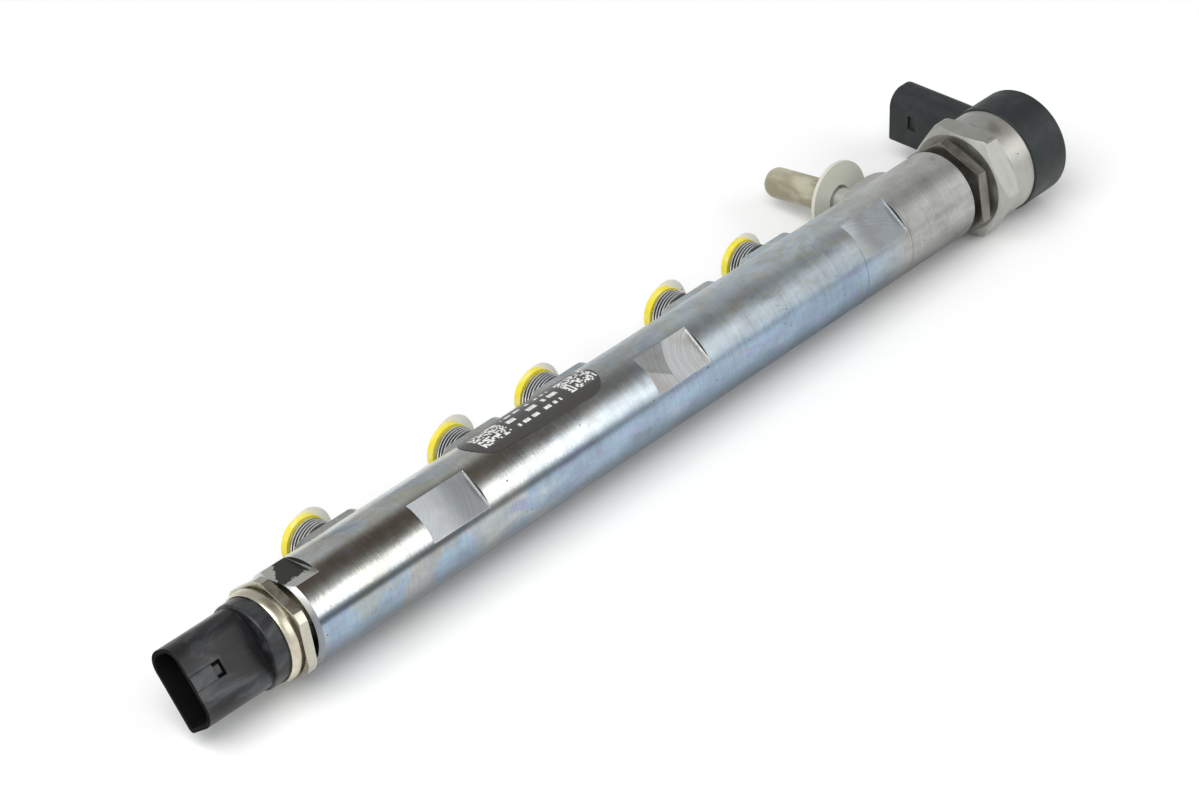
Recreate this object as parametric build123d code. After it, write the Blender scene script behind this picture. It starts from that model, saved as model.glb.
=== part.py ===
from build123d import *
import math
import os

# Everything is modelled with X along the rail from its sensor end, Y along the nipples and Z square
# to both. The last step lays the finished assembly down as it rests on a table.

# Rail forging
rail_length = 267.0
rail_radius = 14.0
rail_chamfer = 1.2
rail_bore_radius = 4.5
port_radius = 9.0
sensor_port_depth = 18.0
valve_port_depth = 21.0
valve_nose_depth = 27.0
valve_nose_radius = 6.5
thread_gap = 0.05
slip_gap = 0.03
cut_over = 1.0

# Nipples, their forged pads and the return boss: near ones are placed from the sensor end, far ones
# from the valve end
near_nipples = [30.0, 84.0, 118.0]
far_nipples = [95.5, 62.0]
nipple_radius = 7.0
nipple_root_radius = 6.55
nipple_root_end = 17.0
nipple_tip = 23.2
nipple_chamfer = 0.6
nipple_bore_radius = 1.5
nipple_cone_radius = 5.0
nipple_cone_angle = 60.0
pad_face = 15.0
pad_half_length = 11.8
pad_half_height = 8.5
pad_corner = 4.0
pad_draft = 5.0
pad_edge = 1.0
return_distance = 16.3
return_pad_half_length = 15.0
return_pad_half_height = 9.4

# Milled flats: start, end, facing angle from the nipples, distance from the axis
saddle_angle = 134.0
saddle_distance = 12.6
near_saddles = [(42.3, 62.7), (129.1, 149.9)]
far_saddles = [(49.3, 30.3)]
sensor_flat_angle = 90.0
sensor_flat_distance = 12.4
sensor_flat_length = 9.2

# Push-in transport plugs: the brim is off centre, and each plug sits turned its own way
plug_collar_radius = 7.4
plug_collar_height = 2.3
plug_brim_radius = 8.6
plug_brim_height = 0.5
plug_brim_offset = 2.3
plug_turns = [15.0, 5.0, 25.0, 8.0, 18.0]
plug_stem_gap = 0.3
plug_stem_length = 4.2
plug_cup_radius = 3.2
plug_floor = 1.2

# Return pipe and its cap
pipe_radius = 3.9
pipe_bore_radius = 2.6
pipe_start = 10.0
pipe_end = 46.0
pipe_edge = 0.5
cap_radius = 4.75
cap_mouth = 24.3
cap_end = 52.0
cap_nose_rounding = 3.5
cap_end_wall = 2.0
cap_flange_radius = 12.0
cap_flange_height = 1.2
cap_flare_radius = 4.6
cap_flare_height = 1.6
cap_flare_land = 0.4
cap_root_step = 0.8
cap_root_height = 1.6
cap_tip_cone = 2.0

# Marking label
label_start = 69.8
label_length = 48.4
label_width = 15.0
label_angle = 85.0
label_skew = -1.8
label_thickness = 0.12
label_glue = 0.04
label_blank = 3.0

# Pressure sensor, measured outwards from the rail's end face
sensor_gap = 2.1
sensor_hex_flats = 27.0
sensor_hex_thickness = 3.15
sensor_hex_corner_radius = 14.8
sensor_hex_turn = 147.5
sensor_hex_edge = 0.5
sensor_undercut_radius = 7.9
sensor_undercut_end = 1.5
sensor_nose_radius = 6.0
sensor_nose_length = 3.0
sensor_bore_radius = 1.5
sensor_thread_edge = 0.8
sensor_nose_edge = 0.6
sensor_land_relief = 0.5
sensor_land_radius = 12.4
sensor_land_height = 2.3
sleeve_start = 0.75
sleeve_radius = 13.1
sleeve_top_radius = 12.75
sleeve_height = 3.0
sleeve_wall = 0.55
collar_radius = 12.2
collar_end = 13.6
collar_edge = 0.4
seal_inner_radius = 10.4
seal_thickness = 1.0
diaphragm_radius = 4.2
diaphragm_height = 2.6
diaphragm_wall = 0.5
diaphragm_cavity_radius = 1.9
board_radius = 9.4
board_thickness = 1.0
board_seat = 12.4
collar_cavity_radius = 9.6
collar_floor = 0.7
board_ledge = 1.6
board_key_depth = 0.8
board_key_width = 2.4

# Plug socket on the sensor
socket_turn = 58.7
socket_width = 22.8
socket_thickness = 13.1
socket_end = 34.7
socket_corner = 5.2
socket_key_corner = 1.5
socket_wall = 1.25
socket_floor = 19.0
latch_width = 4.2
latch_strip_height = 0.3
latch_outer_end = 27.6
latch_inner_end = 24.8
latch_groove = 0.85
latch_depth = 1.0
sensor_pin_width = 1.5
sensor_pin_thickness = 0.64
sensor_pin_pitch = 5.0
sensor_pin_tip = 29.0
pin_gap = 0.02

# Pressure control valve, measured outwards from the rail's other end face; depths run inwards. Its
# hexagon is milled on a round blank, so the corners stay rounded
nut_gap = 4.2
nut_thickness = 2.3
nut_flats = 27.2
nut_turn = 149.0
nut_edge = 0.4
valve_hex_gap = 9.0
valve_hex_thickness = 7.8
valve_hex_flats = 32.5
valve_hex_blank_radius = 18.4
valve_hex_turn = 127.0
valve_hex_face_radius = 15.6
valve_hex_back_radius = 16.0
valve_hex_slope = 30.0
valve_drum_radius = 16.2
valve_drum_height = 25.8
valve_seal_thickness = 1.0
valve_groove_width = 4.5
valve_groove_radius = 7.3
return_hole_radius = 1.2
valve_nose_edge = 0.5
ring_groove_depth = 13.0
ring_groove_width = 2.4
ring_groove_radius = 7.1
valve_seat_radius = 2.6
valve_seat_length = 5.5
valve_orifice_radius = 0.4
valve_cone_radius = 1.2
valve_guide_depth = 13.0
ball_radius = 1.0
ball_gap = 0.03
pin_radius = 1.5
guide_gap = 0.06
filter_radius = 3.6
filter_length = 4.0
filter_wall = 0.5
filter_slots = 6
filter_slot_length = 2.4
filter_slot_width = 0.9
coil_pocket_height = 13.0
coil_core_radius = 5.6
coil_pocket_radius = 11.2
magnet_height = 23.6
rim_radius = 14.1
bobbin_wall = 0.7
bobbin_end_gap = 0.2
coil_depth = 0.4
coil_gap = 0.05
armature_radius = 9.6
armature_thickness = 4.0
armature_face_gap = 0.6
armature_hole_radius = 1.2
armature_hole_place = 6.0
armature_side_gap = 0.8
armature_stroke = 0.4
armature_stop_gap = 0.5
spring_radius = 2.3
spring_wire = 0.32
spring_turns = 5
spring_end_gap = 0.01
spring_pocket_radius = 3.1
spring_pocket_depth = 6.5

# Black cap of the valve with its side socket
drum_cap_radius = 16.75
drum_cap_height = 42.0
drum_cap_rounding = 1.6
drum_cap_lip = 0.35
side_socket_turn = 8.0
side_socket_height = 27.0
side_socket_thickness = 13.0
side_socket_width = 17.0
side_socket_end = 40.0
side_socket_floor = 24.0
side_socket_top_corner = 5.3
side_socket_foot_corner = 1.2
side_socket_wall = 1.4
side_socket_root = 10.6
side_latch_start = 30.0
side_latch_end = 32.8
side_latch_foot = -1.9
side_latch_top = 2.6
side_latch_depth = 0.9
valve_pin_width = 2.8
valve_pin_thickness = 0.8
valve_pin_pitch = 6.0
valve_pin_start = 14.0
valve_pin_tip = 34.0

# Values that follow from the ones above
nipple_places = near_nipples + [rail_length - distance for distance in far_nipples]
saddle_stretches = near_saddles + [(rail_length - start, rail_length - end) for start, end in far_saddles]
return_place = rail_length - return_distance
nut_start = rail_length + nut_gap
nut_end = nut_start + nut_thickness
sensor_hex_end = sensor_gap + sensor_hex_thickness
land_end = sensor_hex_end + sensor_land_height
sleeve_from = sensor_hex_end + sleeve_start
sleeve_to = sleeve_from + sleeve_height
seal_end = land_end + seal_thickness
collar_cavity_end = collar_end - collar_floor
valve_port_floor = rail_length - valve_port_depth
valve_nose_end = rail_length - valve_nose_depth
seat_face = valve_port_floor
valve_seat_start = seat_face - valve_seat_length
valve_groove_start = return_place - valve_groove_width / 2
valve_groove_end = return_place + valve_groove_width / 2
ring_groove_start = rail_length - ring_groove_depth
ring_groove_end = ring_groove_start + ring_groove_width
valve_guide_start = rail_length - valve_guide_depth
valve_hex_start = rail_length + valve_hex_gap
valve_hex_end = valve_hex_start + valve_hex_thickness
valve_drum_end = rail_length + valve_drum_height
coil_pocket_start = rail_length + coil_pocket_height
magnet_face = rail_length + magnet_height
drum_cap_end = rail_length + drum_cap_height
side_socket_start = rail_length + side_socket_height
armature_start = magnet_face + armature_face_gap
armature_end = armature_start + armature_thickness
armature_room_end = armature_end + armature_stroke + armature_stop_gap
side_socket_middle = side_socket_start + side_socket_thickness / 2


# Solid turned about the rail's axis from a profile of (place along X, radius)
def turned(*profile):
    return revolve(make_face(Polyline(*profile, close=True)), Axis.X, 360)


# Solid turned about a line along Y at one place, from a profile of (height along Y, radius)
def turned_at(place, *profile):
    outline = [(place + radius, height) for height, radius in profile]
    return revolve(make_face(Polyline(*outline, close=True)), Axis((place, 0, 0), (0, 1, 0)), 360)


def rod(start, end, radius):
    return turned((start, 0), (start, radius), (end, radius), (end, 0))


def tube(start, end, inner, outer):
    return turned((start, inner), (start, outer), (end, outer), (end, inner))


# Plane square to the rail, with its sketch turned about the axis
def cross_plane(place, turn=0.0):
    angle = math.radians(turn)
    return Plane(origin=(place, 0, 0), x_dir=(0, math.cos(angle), math.sin(angle)), z_dir=(1, 0, 0))


# Hexagonal bar along X with one corner at the given angle
def hex_bar(start, end, flats, turn):
    outline = RegularPolygon(flats / 2, 6, major_radius=False)
    corner = outline.vertices()[0]
    first = math.degrees(math.atan2(corner.Y, corner.X))
    return extrude(cross_plane(start, turn - first) * outline, end - start)


# Block that stands off the axis in one direction, from a distance outwards
def outer_block(start, end, angle, distance, reach=12.0, breadth=40.0):
    block = Pos(0, distance + reach / 2, 0) * Box(end - start, reach, breadth)
    return Pos((start + end) / 2, 0, 0) * Rot(angle, 0, 0) * block


def forged_pad(place, outline):
    face = Plane(origin=(place, pad_face, 0), x_dir=(1, 0, 0), z_dir=(0, -1, 0))
    pad = extrude(face * outline, pad_face - rail_bore_radius, taper=-pad_draft)
    return fillet(pad.faces().sort_by(Axis.Y)[-1].edges(), pad_edge)


def nipple(place):
    start = pad_face - pad_edge
    return turned_at(
        place,
        (start, 0),
        (start, nipple_root_radius),
        (nipple_root_end, nipple_root_radius),
        (nipple_root_end, nipple_radius),
        (nipple_tip - nipple_chamfer, nipple_radius),
        (nipple_tip, nipple_radius - nipple_chamfer),
        (nipple_tip, 0),
    )


# Bore of a nipple with the sealing cone that takes the pipe's olive
def nipple_bore(place):
    cone_depth = (nipple_cone_radius - nipple_bore_radius) / math.tan(math.radians(nipple_cone_angle / 2))
    return turned_at(
        place,
        (0, 0),
        (0, nipple_bore_radius),
        (nipple_tip - cone_depth, nipple_bore_radius),
        (nipple_tip, nipple_cone_radius),
        (nipple_tip + cut_over, nipple_cone_radius),
        (nipple_tip + cut_over, 0),
    )


def rail_body():
    edge = rail_radius - rail_chamfer
    body = turned(
        (0, 0),
        (0, edge),
        (rail_chamfer, rail_radius),
        (rail_length - rail_chamfer / 3, rail_radius),
        (rail_length, rail_radius - rail_chamfer / 3),
        (rail_length, 0),
    )
    outline = RectangleRounded(2 * pad_half_length, 2 * pad_half_height, pad_corner)
    for place in nipple_places:
        body += forged_pad(place, outline) + nipple(place)
    body += forged_pad(return_place, Ellipse(return_pad_half_length, return_pad_half_height))
    body -= rod(rail_length, rail_length + rail_radius, 2 * rail_radius)
    body -= outer_block(-cut_over, sensor_flat_length, sensor_flat_angle, sensor_flat_distance)
    for start, end in saddle_stretches:
        body -= outer_block(start, end, saddle_angle, saddle_distance)
    body -= rod(-cut_over, rail_length + cut_over, rail_bore_radius)
    body -= rod(-cut_over, sensor_port_depth, port_radius)
    body -= rod(valve_port_floor, rail_length + cut_over, port_radius)
    body -= rod(valve_nose_end, valve_port_floor, valve_nose_radius + slip_gap)
    for place in nipple_places:
        body -= nipple_bore(place)
    body -= turned_at(
        return_place,
        (0, 0),
        (0, pipe_bore_radius),
        (pipe_start, pipe_bore_radius),
        (pipe_start, pipe_radius + slip_gap),
        (pad_face + cut_over, pipe_radius + slip_gap),
        (pad_face + cut_over, 0),
    )
    return body


def port_plug(place, turn):
    slope = math.tan(math.radians(nipple_cone_angle / 2))
    stem_radius = nipple_cone_radius - plug_stem_gap
    stem_end = nipple_tip - plug_stem_length
    collar_end = nipple_tip + plug_collar_height
    brim_end = collar_end + plug_brim_height
    plug = turned_at(
        place,
        (stem_end, 0),
        (stem_end, stem_radius - plug_stem_length * slope),
        (nipple_tip, stem_radius),
        (nipple_tip, plug_collar_radius),
        (collar_end, plug_collar_radius),
        (collar_end, 0),
    )
    angle = math.radians(turn)
    across = plug_brim_offset * math.cos(angle)
    along = plug_brim_offset * math.sin(angle)
    brim_plane = Plane(origin=(place + across, collar_end, -along), x_dir=(1, 0, 0), z_dir=(0, 1, 0))
    plug += extrude(brim_plane * Circle(plug_brim_radius), plug_brim_height)
    cup_floor = stem_end + plug_floor
    cup_waist = plug_cup_radius - (collar_end - cup_floor) * slope / 2
    return plug - turned_at(
        place,
        (cup_floor, 0),
        (cup_floor, cup_waist),
        (collar_end, plug_cup_radius),
        (brim_end + cut_over, plug_cup_radius),
        (brim_end + cut_over, 0),
    )


def return_pipe():
    return turned_at(
        return_place,
        (pipe_start, pipe_bore_radius),
        (pipe_start, pipe_radius),
        (pipe_end - pipe_edge, pipe_radius),
        (pipe_end, pipe_radius - pipe_edge),
        (pipe_end, pipe_bore_radius),
    )


def return_pipe_cap():
    cap = turned_at(
        return_place,
        (cap_mouth, 0),
        (cap_mouth, cap_flange_radius),
        (cap_mouth + cap_flange_height, cap_flange_radius),
        (cap_mouth + cap_flange_height, cap_radius + cap_root_step),
        (cap_mouth + cap_flange_height + cap_root_height, cap_radius),
        (cap_end, cap_radius),
        (cap_end, 0),
    )
    cap = fillet(cap.faces().sort_by(Axis.Y)[-1].edges(), cap_nose_rounding)
    return cap - turned_at(
        return_place,
        (cap_mouth - cut_over, 0),
        (cap_mouth - cut_over, cap_flare_radius),
        (cap_mouth + cap_flare_land, cap_flare_radius),
        (cap_mouth + cap_flare_height, pipe_radius + slip_gap),
        (cap_end - cap_end_wall - cap_tip_cone, pipe_radius + slip_gap),
        (cap_end - cap_end_wall, pipe_radius + slip_gap - cap_tip_cone),
        (cap_end - cap_end_wall, 0),
    )


# Foil label bent round the rail: a slot outline cut through a thin shell
def data_label():
    inner = rail_radius + label_glue
    middle = label_start + label_length / 2
    shell = tube(
        label_start - label_blank,
        label_start + label_length + label_blank,
        inner,
        inner + label_thickness,
    )
    angle = math.radians(label_angle)
    outward = (0, math.cos(angle), math.sin(angle))
    face = Plane(origin=(middle, 0, 0), x_dir=(1, 0, 0), z_dir=outward)
    outline = Rot(0, 0, label_skew) * SlotOverall(label_length, label_width)
    return shell & extrude(face * outline, 2 * rail_radius)


def sensor_body():
    body = hex_bar(-sensor_hex_end, -sensor_gap, sensor_hex_flats, sensor_hex_turn)
    corner = sensor_hex_corner_radius
    flat = sensor_hex_flats / 2
    body &= turned(
        (-sensor_hex_end, 0),
        (-sensor_hex_end, flat - sensor_hex_edge / 2),
        (-sensor_hex_end + sensor_hex_edge, corner),
        (-sensor_gap - sensor_hex_edge, corner),
        (-sensor_gap, flat - sensor_hex_edge / 2),
        (-sensor_gap, 0),
    )
    thread = port_radius - thread_gap
    nose_start = sensor_port_depth - sensor_nose_length
    body += turned(
        (-sensor_gap, 0),
        (-sensor_gap, sensor_undercut_radius),
        (sensor_undercut_end, sensor_undercut_radius),
        (sensor_undercut_end + sensor_thread_edge, thread),
        (nose_start - sensor_thread_edge, thread),
        (nose_start, thread - sensor_thread_edge),
        (nose_start, sensor_nose_radius + sensor_nose_edge),
        (sensor_port_depth, sensor_nose_radius),
        (sensor_port_depth, 0),
    )
    body += turned(
        (-sensor_hex_end, 0),
        (-sensor_hex_end, sensor_land_radius - sensor_land_relief),
        (-sleeve_from, sensor_land_radius - sensor_land_relief),
        (-sleeve_from, sensor_land_radius),
        (-land_end, sensor_land_radius),
        (-land_end, 0),
    )
    return body - rod(-land_end - cut_over, sensor_port_depth + cut_over, sensor_bore_radius)


def sensor_diaphragm():
    end = land_end + diaphragm_height
    cup = rod(-end, -land_end, diaphragm_radius)
    return cup - rod(-end + diaphragm_wall, -land_end + cut_over, diaphragm_cavity_radius)


def sensor_sleeve():
    inner = sensor_land_radius + slip_gap
    lip = collar_radius + slip_gap
    return turned(
        (-sleeve_from, inner),
        (-sleeve_from, sleeve_radius),
        (-sleeve_from - 0.6 * sleeve_height, sleeve_radius),
        (-sleeve_to, sleeve_top_radius),
        (-sleeve_to, lip),
        (-sleeve_to + sleeve_wall, lip),
        (-sleeve_to + sleeve_wall, inner),
    )


def sensor_seal():
    return tube(-seal_end, -land_end, seal_inner_radius, collar_radius)


def sensor_circuit_board():
    board = rod(-board_seat, -board_seat + board_thickness, board_radius)
    mark = Pos(-board_seat, 0, 0) * Rot(socket_turn, 0, 0) * Pos(0, board_radius, 0)
    return board - mark * Box(4 * board_thickness, 2 * board_key_depth, board_key_width)


# Rounded socket outline; one corner on the far side stays nearly square as the key
def socket_outline(width, thickness, corner, key_corner):
    outline = Rectangle(width, thickness)
    key = outline.vertices().group_by(Axis.Y)[0].sort_by(Axis.X)[0]
    outline = fillet(key, key_corner)
    square = outline.vertices().group_by(Axis.Y)[-1]
    outline = fillet(square, corner)
    last = outline.vertices().group_by(Axis.Y)[0].sort_by(Axis.X)[-1]
    return fillet(last, corner)


def sensor_pins(grow=0.0):
    pins = []
    length = sensor_pin_tip - collar_cavity_end
    for index in (-1, 0, 1):
        across = index * sensor_pin_pitch
        blade = Box(length, sensor_pin_width + 2 * grow, sensor_pin_thickness + 2 * grow)
        centre = -(collar_cavity_end + sensor_pin_tip) / 2
        pins.append(Pos(centre, 0, 0) * Rot(socket_turn, 0, 0) * Pos(0, across, 0) * blade)
    return pins


def sensor_connector():
    plane = cross_plane(-socket_end, socket_turn)
    shroud = extrude(
        plane * socket_outline(socket_width, socket_thickness, socket_corner, socket_key_corner),
        socket_end - collar_end,
    )
    shroud += turned(
        (-collar_end, 0),
        (-collar_end, collar_radius - collar_edge),
        (-collar_end + collar_edge, collar_radius),
        (-seal_end, collar_radius),
        (-seal_end, 0),
    )
    turn = Rot(socket_turn, 0, 0)
    face = socket_thickness / 2
    strip = Box(socket_end - latch_outer_end, latch_width, latch_strip_height)
    strip_middle = (socket_end + latch_outer_end) / 2
    shroud += turn * Pos(-strip_middle, 0, face + latch_strip_height / 2) * strip
    notch_length = latch_outer_end - latch_inner_end
    notch_middle = (latch_outer_end + latch_inner_end) / 2
    notch = Pos(-notch_middle, 0, face) * Box(notch_length, latch_width, 2 * latch_depth)
    tongue = Box(notch_length, latch_width - 2 * latch_groove, 4 * latch_depth)
    tongue = Pos(-notch_middle - latch_groove, 0, face) * tongue
    shroud -= turn * (notch - tongue)
    mouth = socket_outline(
        socket_width - 2 * socket_wall,
        socket_thickness - 2 * socket_wall,
        socket_corner - socket_wall,
        socket_key_corner / 2,
    )
    mouth_depth = socket_end - socket_floor + cut_over
    shroud -= extrude(cross_plane(-socket_end - cut_over, socket_turn) * mouth, mouth_depth)
    shroud -= rod(-board_seat, -seal_end + cut_over, collar_cavity_radius)
    shroud -= rod(-collar_cavity_end, -board_seat, collar_cavity_radius - board_ledge)
    for pin in sensor_pins(pin_gap):
        shroud -= pin
    return shroud


def sensor_terminals():
    return Compound(children=sensor_pins())


def valve_lock_nut():
    nut = hex_bar(nut_start, nut_end, nut_flats, nut_turn)
    corner = nut_flats / math.sqrt(3)
    flat = nut_flats / 2
    nut &= turned(
        (nut_start, 0),
        (nut_start, flat + nut_edge),
        (nut_start + nut_edge, corner),
        (nut_end - nut_edge, corner),
        (nut_end, flat + nut_edge),
        (nut_end, 0),
    )
    return nut - rod(nut_start - cut_over, nut_end + cut_over, port_radius)


def valve_sealing_ring():
    inner = valve_nose_radius + slip_gap
    start = valve_port_floor
    return tube(start, start + valve_seal_thickness, inner, port_radius - thread_gap)


# Steel body of the valve: nose, return groove, thread, hexagon and the pot that holds the coil
def valve_body():
    thread = port_radius - thread_gap
    shoulder = valve_port_floor + valve_seal_thickness
    body = turned(
        (valve_nose_end, 0),
        (valve_nose_end, valve_nose_radius - valve_nose_edge),
        (valve_nose_end + valve_nose_edge, valve_nose_radius),
        (shoulder, valve_nose_radius),
        (shoulder, thread),
        (valve_groove_start, thread),
        (valve_groove_start, valve_groove_radius),
        (valve_groove_end, valve_groove_radius),
        (valve_groove_end, thread),
        (ring_groove_start, thread),
        (ring_groove_start, ring_groove_radius),
        (ring_groove_end, ring_groove_radius),
        (ring_groove_end, thread),
        (valve_hex_start, thread),
        (valve_hex_start, 0),
    )
    corner = valve_hex_blank_radius
    slope_depth = (corner - valve_hex_face_radius) * math.tan(math.radians(valve_hex_slope))
    back_depth = (corner - valve_hex_back_radius) * math.tan(math.radians(valve_hex_slope))
    head = hex_bar(valve_hex_start, valve_hex_end, valve_hex_flats, valve_hex_turn)
    head &= turned(
        (valve_hex_start, 0),
        (valve_hex_start, valve_hex_face_radius),
        (valve_hex_start + slope_depth, corner),
        (valve_hex_end - back_depth, corner),
        (valve_hex_end, valve_hex_back_radius),
        (valve_hex_end, 0),
    )
    drum_start = valve_hex_end - 2 * back_depth
    body += head + rod(drum_start, valve_drum_end, valve_drum_radius)
    body -= rod(magnet_face, valve_drum_end + cut_over, rim_radius)
    body -= tube(coil_pocket_start, magnet_face + cut_over, coil_core_radius, coil_pocket_radius)
    body -= rod(valve_nose_end - cut_over, valve_guide_start, valve_seat_radius + slip_gap)
    body -= rod(valve_guide_start - cut_over, magnet_face + cut_over, pin_radius + guide_gap)
    for angle in (0, 90, 180, 270):
        hole = Rot(90, 0, 0) * Cylinder(return_hole_radius, valve_groove_radius)
        body -= Rot(angle, 0, 0) * Pos(return_place, valve_groove_radius / 2, 0) * hole
    return body


def valve_seal_ring():
    section = (port_radius - ring_groove_radius) / 2 - slip_gap
    middle = (ring_groove_start + ring_groove_end) / 2
    radius = (ring_groove_radius + port_radius) / 2
    circle = Plane(origin=(middle, radius, 0), x_dir=(1, 0, 0), z_dir=(0, 0, 1)) * Circle(section)
    return revolve(circle, Axis.X, 360)


def valve_seat():
    cone_start = seat_face - (valve_cone_radius - valve_orifice_radius)
    return turned(
        (valve_seat_start, valve_orifice_radius),
        (valve_seat_start, valve_seat_radius),
        (seat_face, valve_seat_radius),
        (seat_face, valve_cone_radius),
        (cone_start, valve_orifice_radius),
    )


# The ball seats in a right-angled cone, whose tip lies one cone radius behind the seat's face
ball_middle = seat_face - valve_cone_radius + ball_radius * math.sqrt(2) + ball_gap


def valve_ball():
    return Pos(ball_middle, 0, 0) * Sphere(ball_radius)


def valve_pin():
    return rod(ball_middle + ball_radius, armature_end, pin_radius)


def valve_armature():
    plate = tube(armature_start, armature_end, pin_radius, armature_radius)
    for angle in (0, 120, 240):
        hole = Rot(0, 90, 0) * Cylinder(armature_hole_radius, 2 * armature_thickness)
        hole = Pos(armature_start, armature_hole_place, 0) * hole
        plate -= Rot(angle, 0, 0) * hole
    return plate


def spring_pocket_end():
    return armature_room_end + spring_pocket_depth


# Closed-coil compression spring between the armature and the bottom of its pocket
def valve_spring():
    start = armature_end + spring_wire + spring_end_gap
    length = spring_pocket_end() - spring_wire - spring_end_gap - start
    path = Helix(length / spring_turns, length, spring_radius)
    path = Pos(start, 0, 0) * Rot(0, 90, 0) * path
    section = Plane(origin=path @ 0, z_dir=path % 0) * Circle(spring_wire)
    return sweep(section, path=path, is_frenet=True)


def valve_bobbin():
    start = coil_pocket_start
    end = magnet_face - bobbin_end_gap
    inner = coil_core_radius + coil_gap
    outer = coil_pocket_radius - coil_gap
    return turned(
        (start, inner),
        (start, outer),
        (start + bobbin_wall, outer),
        (start + bobbin_wall, inner + bobbin_wall),
        (end - bobbin_wall, inner + bobbin_wall),
        (end - bobbin_wall, outer),
        (end, outer),
        (end, inner),
    )


def valve_coil():
    start = coil_pocket_start + bobbin_wall + slip_gap
    end = magnet_face - bobbin_end_gap - bobbin_wall - slip_gap
    inner = coil_core_radius + coil_gap + bobbin_wall + slip_gap
    return tube(start, end, inner, coil_pocket_radius - coil_depth)


def valve_filter():
    end = valve_nose_end
    cup = tube(end - filter_length, end, filter_radius - filter_wall, filter_radius)
    cup += rod(end - filter_length - filter_wall, end - filter_length, filter_radius)
    for index in range(filter_slots):
        slot = Box(filter_slot_length, 4 * filter_wall, filter_slot_width)
        slot = Pos(end - filter_length / 2, filter_radius, 0) * slot
        cup -= Rot(360 * index / filter_slots, 0, 0) * slot
    return cup


# Plane of the side socket: its normal runs out along the socket, its sketch X along the rail
def side_plane(reach):
    angle = math.radians(side_socket_turn)
    out = (0, math.cos(angle), math.sin(angle))
    origin = (side_socket_middle, reach * out[1], reach * out[2])
    return Plane(origin=origin, x_dir=(1, 0, 0), z_dir=out)


# Outline of the side socket, deep corners at the top and tight ones at the foot
def side_outline(thickness, width, top_corner, foot_corner):
    outline = Rectangle(thickness, width)
    outline = fillet(outline.vertices().group_by(Axis.Y)[0], top_corner)
    return fillet(outline.vertices().group_by(Axis.Y)[-1], foot_corner)


def valve_pins(grow=0.0):
    pins = []
    length = valve_pin_tip - valve_pin_start
    for side in (-1, 1):
        blade = Box(valve_pin_thickness + 2 * grow, valve_pin_width + 2 * grow, length)
        place = side_plane((valve_pin_start + valve_pin_tip) / 2).location
        pins.append(place * Pos(0, side * valve_pin_pitch / 2, 0) * blade)
    return pins


def valve_cap():
    lip = drum_cap_lip
    rounding = drum_cap_rounding
    cap = rod(valve_drum_end, drum_cap_end, drum_cap_radius)
    cap = fillet(cap.faces().sort_by(Axis.X)[-1].edges(), rounding)
    cap = chamfer(cap.faces().sort_by(Axis.X)[0].edges(), lip)
    cap += rod(magnet_face, valve_drum_end, rim_radius - slip_gap)
    outline = side_outline(
        side_socket_thickness,
        side_socket_width,
        side_socket_top_corner,
        side_socket_foot_corner,
    )
    cap += extrude(side_plane(side_socket_root) * outline, side_socket_end - side_socket_root)
    mouth = side_outline(
        side_socket_thickness - 2 * side_socket_wall,
        side_socket_width - 2 * side_socket_wall,
        side_socket_top_corner - side_socket_wall,
        side_socket_foot_corner / 2,
    )
    mouth_depth = side_socket_end - side_socket_floor + cut_over
    cap -= extrude(side_plane(side_socket_floor) * mouth, mouth_depth)
    cap -= rod(magnet_face - cut_over, armature_room_end, armature_radius + armature_side_gap)
    cap -= rod(armature_end, spring_pocket_end(), spring_pocket_radius)
    turn = Rot(side_socket_turn, 0, 0)
    catch = Box(2 * side_latch_depth, side_latch_end - side_latch_start, side_latch_top - side_latch_foot)
    reach = (side_latch_start + side_latch_end) / 2
    height = (side_latch_foot + side_latch_top) / 2
    cap -= turn * Pos(side_socket_start, reach, height) * catch
    for pin in valve_pins(pin_gap):
        cap -= pin
    return cap


def valve_terminals():
    return Compound(children=valve_pins())


# Lying on a table, the assembly is carried by the sensor's hexagon, the valve's black cap and the
# rim of the return pipe's cap, so the nipples point down by this angle
def rest_angle():
    share = (return_place + sensor_hex_end) / (drum_cap_end - drum_cap_rounding + sensor_hex_end)
    support = sensor_hex_corner_radius + share * (drum_cap_radius - sensor_hex_corner_radius)
    rim_height = cap_mouth + cap_flange_height
    rim_reach = math.hypot(rim_height, cap_flange_radius)
    return math.degrees(math.atan2(rim_height, cap_flange_radius) - math.acos(support / rim_reach))


pieces = {
    "rail_body": rail_body(),
    "return_pipe": return_pipe(),
    "return_pipe_cap": return_pipe_cap(),
    "data_label": data_label(),
    "sensor_body": sensor_body(),
    "sensor_diaphragm": sensor_diaphragm(),
    "sensor_sleeve": sensor_sleeve(),
    "sensor_seal": sensor_seal(),
    "sensor_circuit_board": sensor_circuit_board(),
    "sensor_connector": sensor_connector(),
    "sensor_terminals": sensor_terminals(),
    "valve_lock_nut": valve_lock_nut(),
    "valve_sealing_ring": valve_sealing_ring(),
    "valve_body": valve_body(),
    "valve_seal_ring": valve_seal_ring(),
    "valve_seat": valve_seat(),
    "valve_ball": valve_ball(),
    "valve_pin": valve_pin(),
    "valve_armature": valve_armature(),
    "valve_spring": valve_spring(),
    "valve_bobbin": valve_bobbin(),
    "valve_coil": valve_coil(),
    "valve_filter": valve_filter(),
    "valve_cap": valve_cap(),
    "valve_terminals": valve_terminals(),
}
for number, (place, turn) in enumerate(zip(nipple_places, plug_turns), start=1):
    pieces[f"port_plug_{number}"] = port_plug(place, turn)

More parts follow.
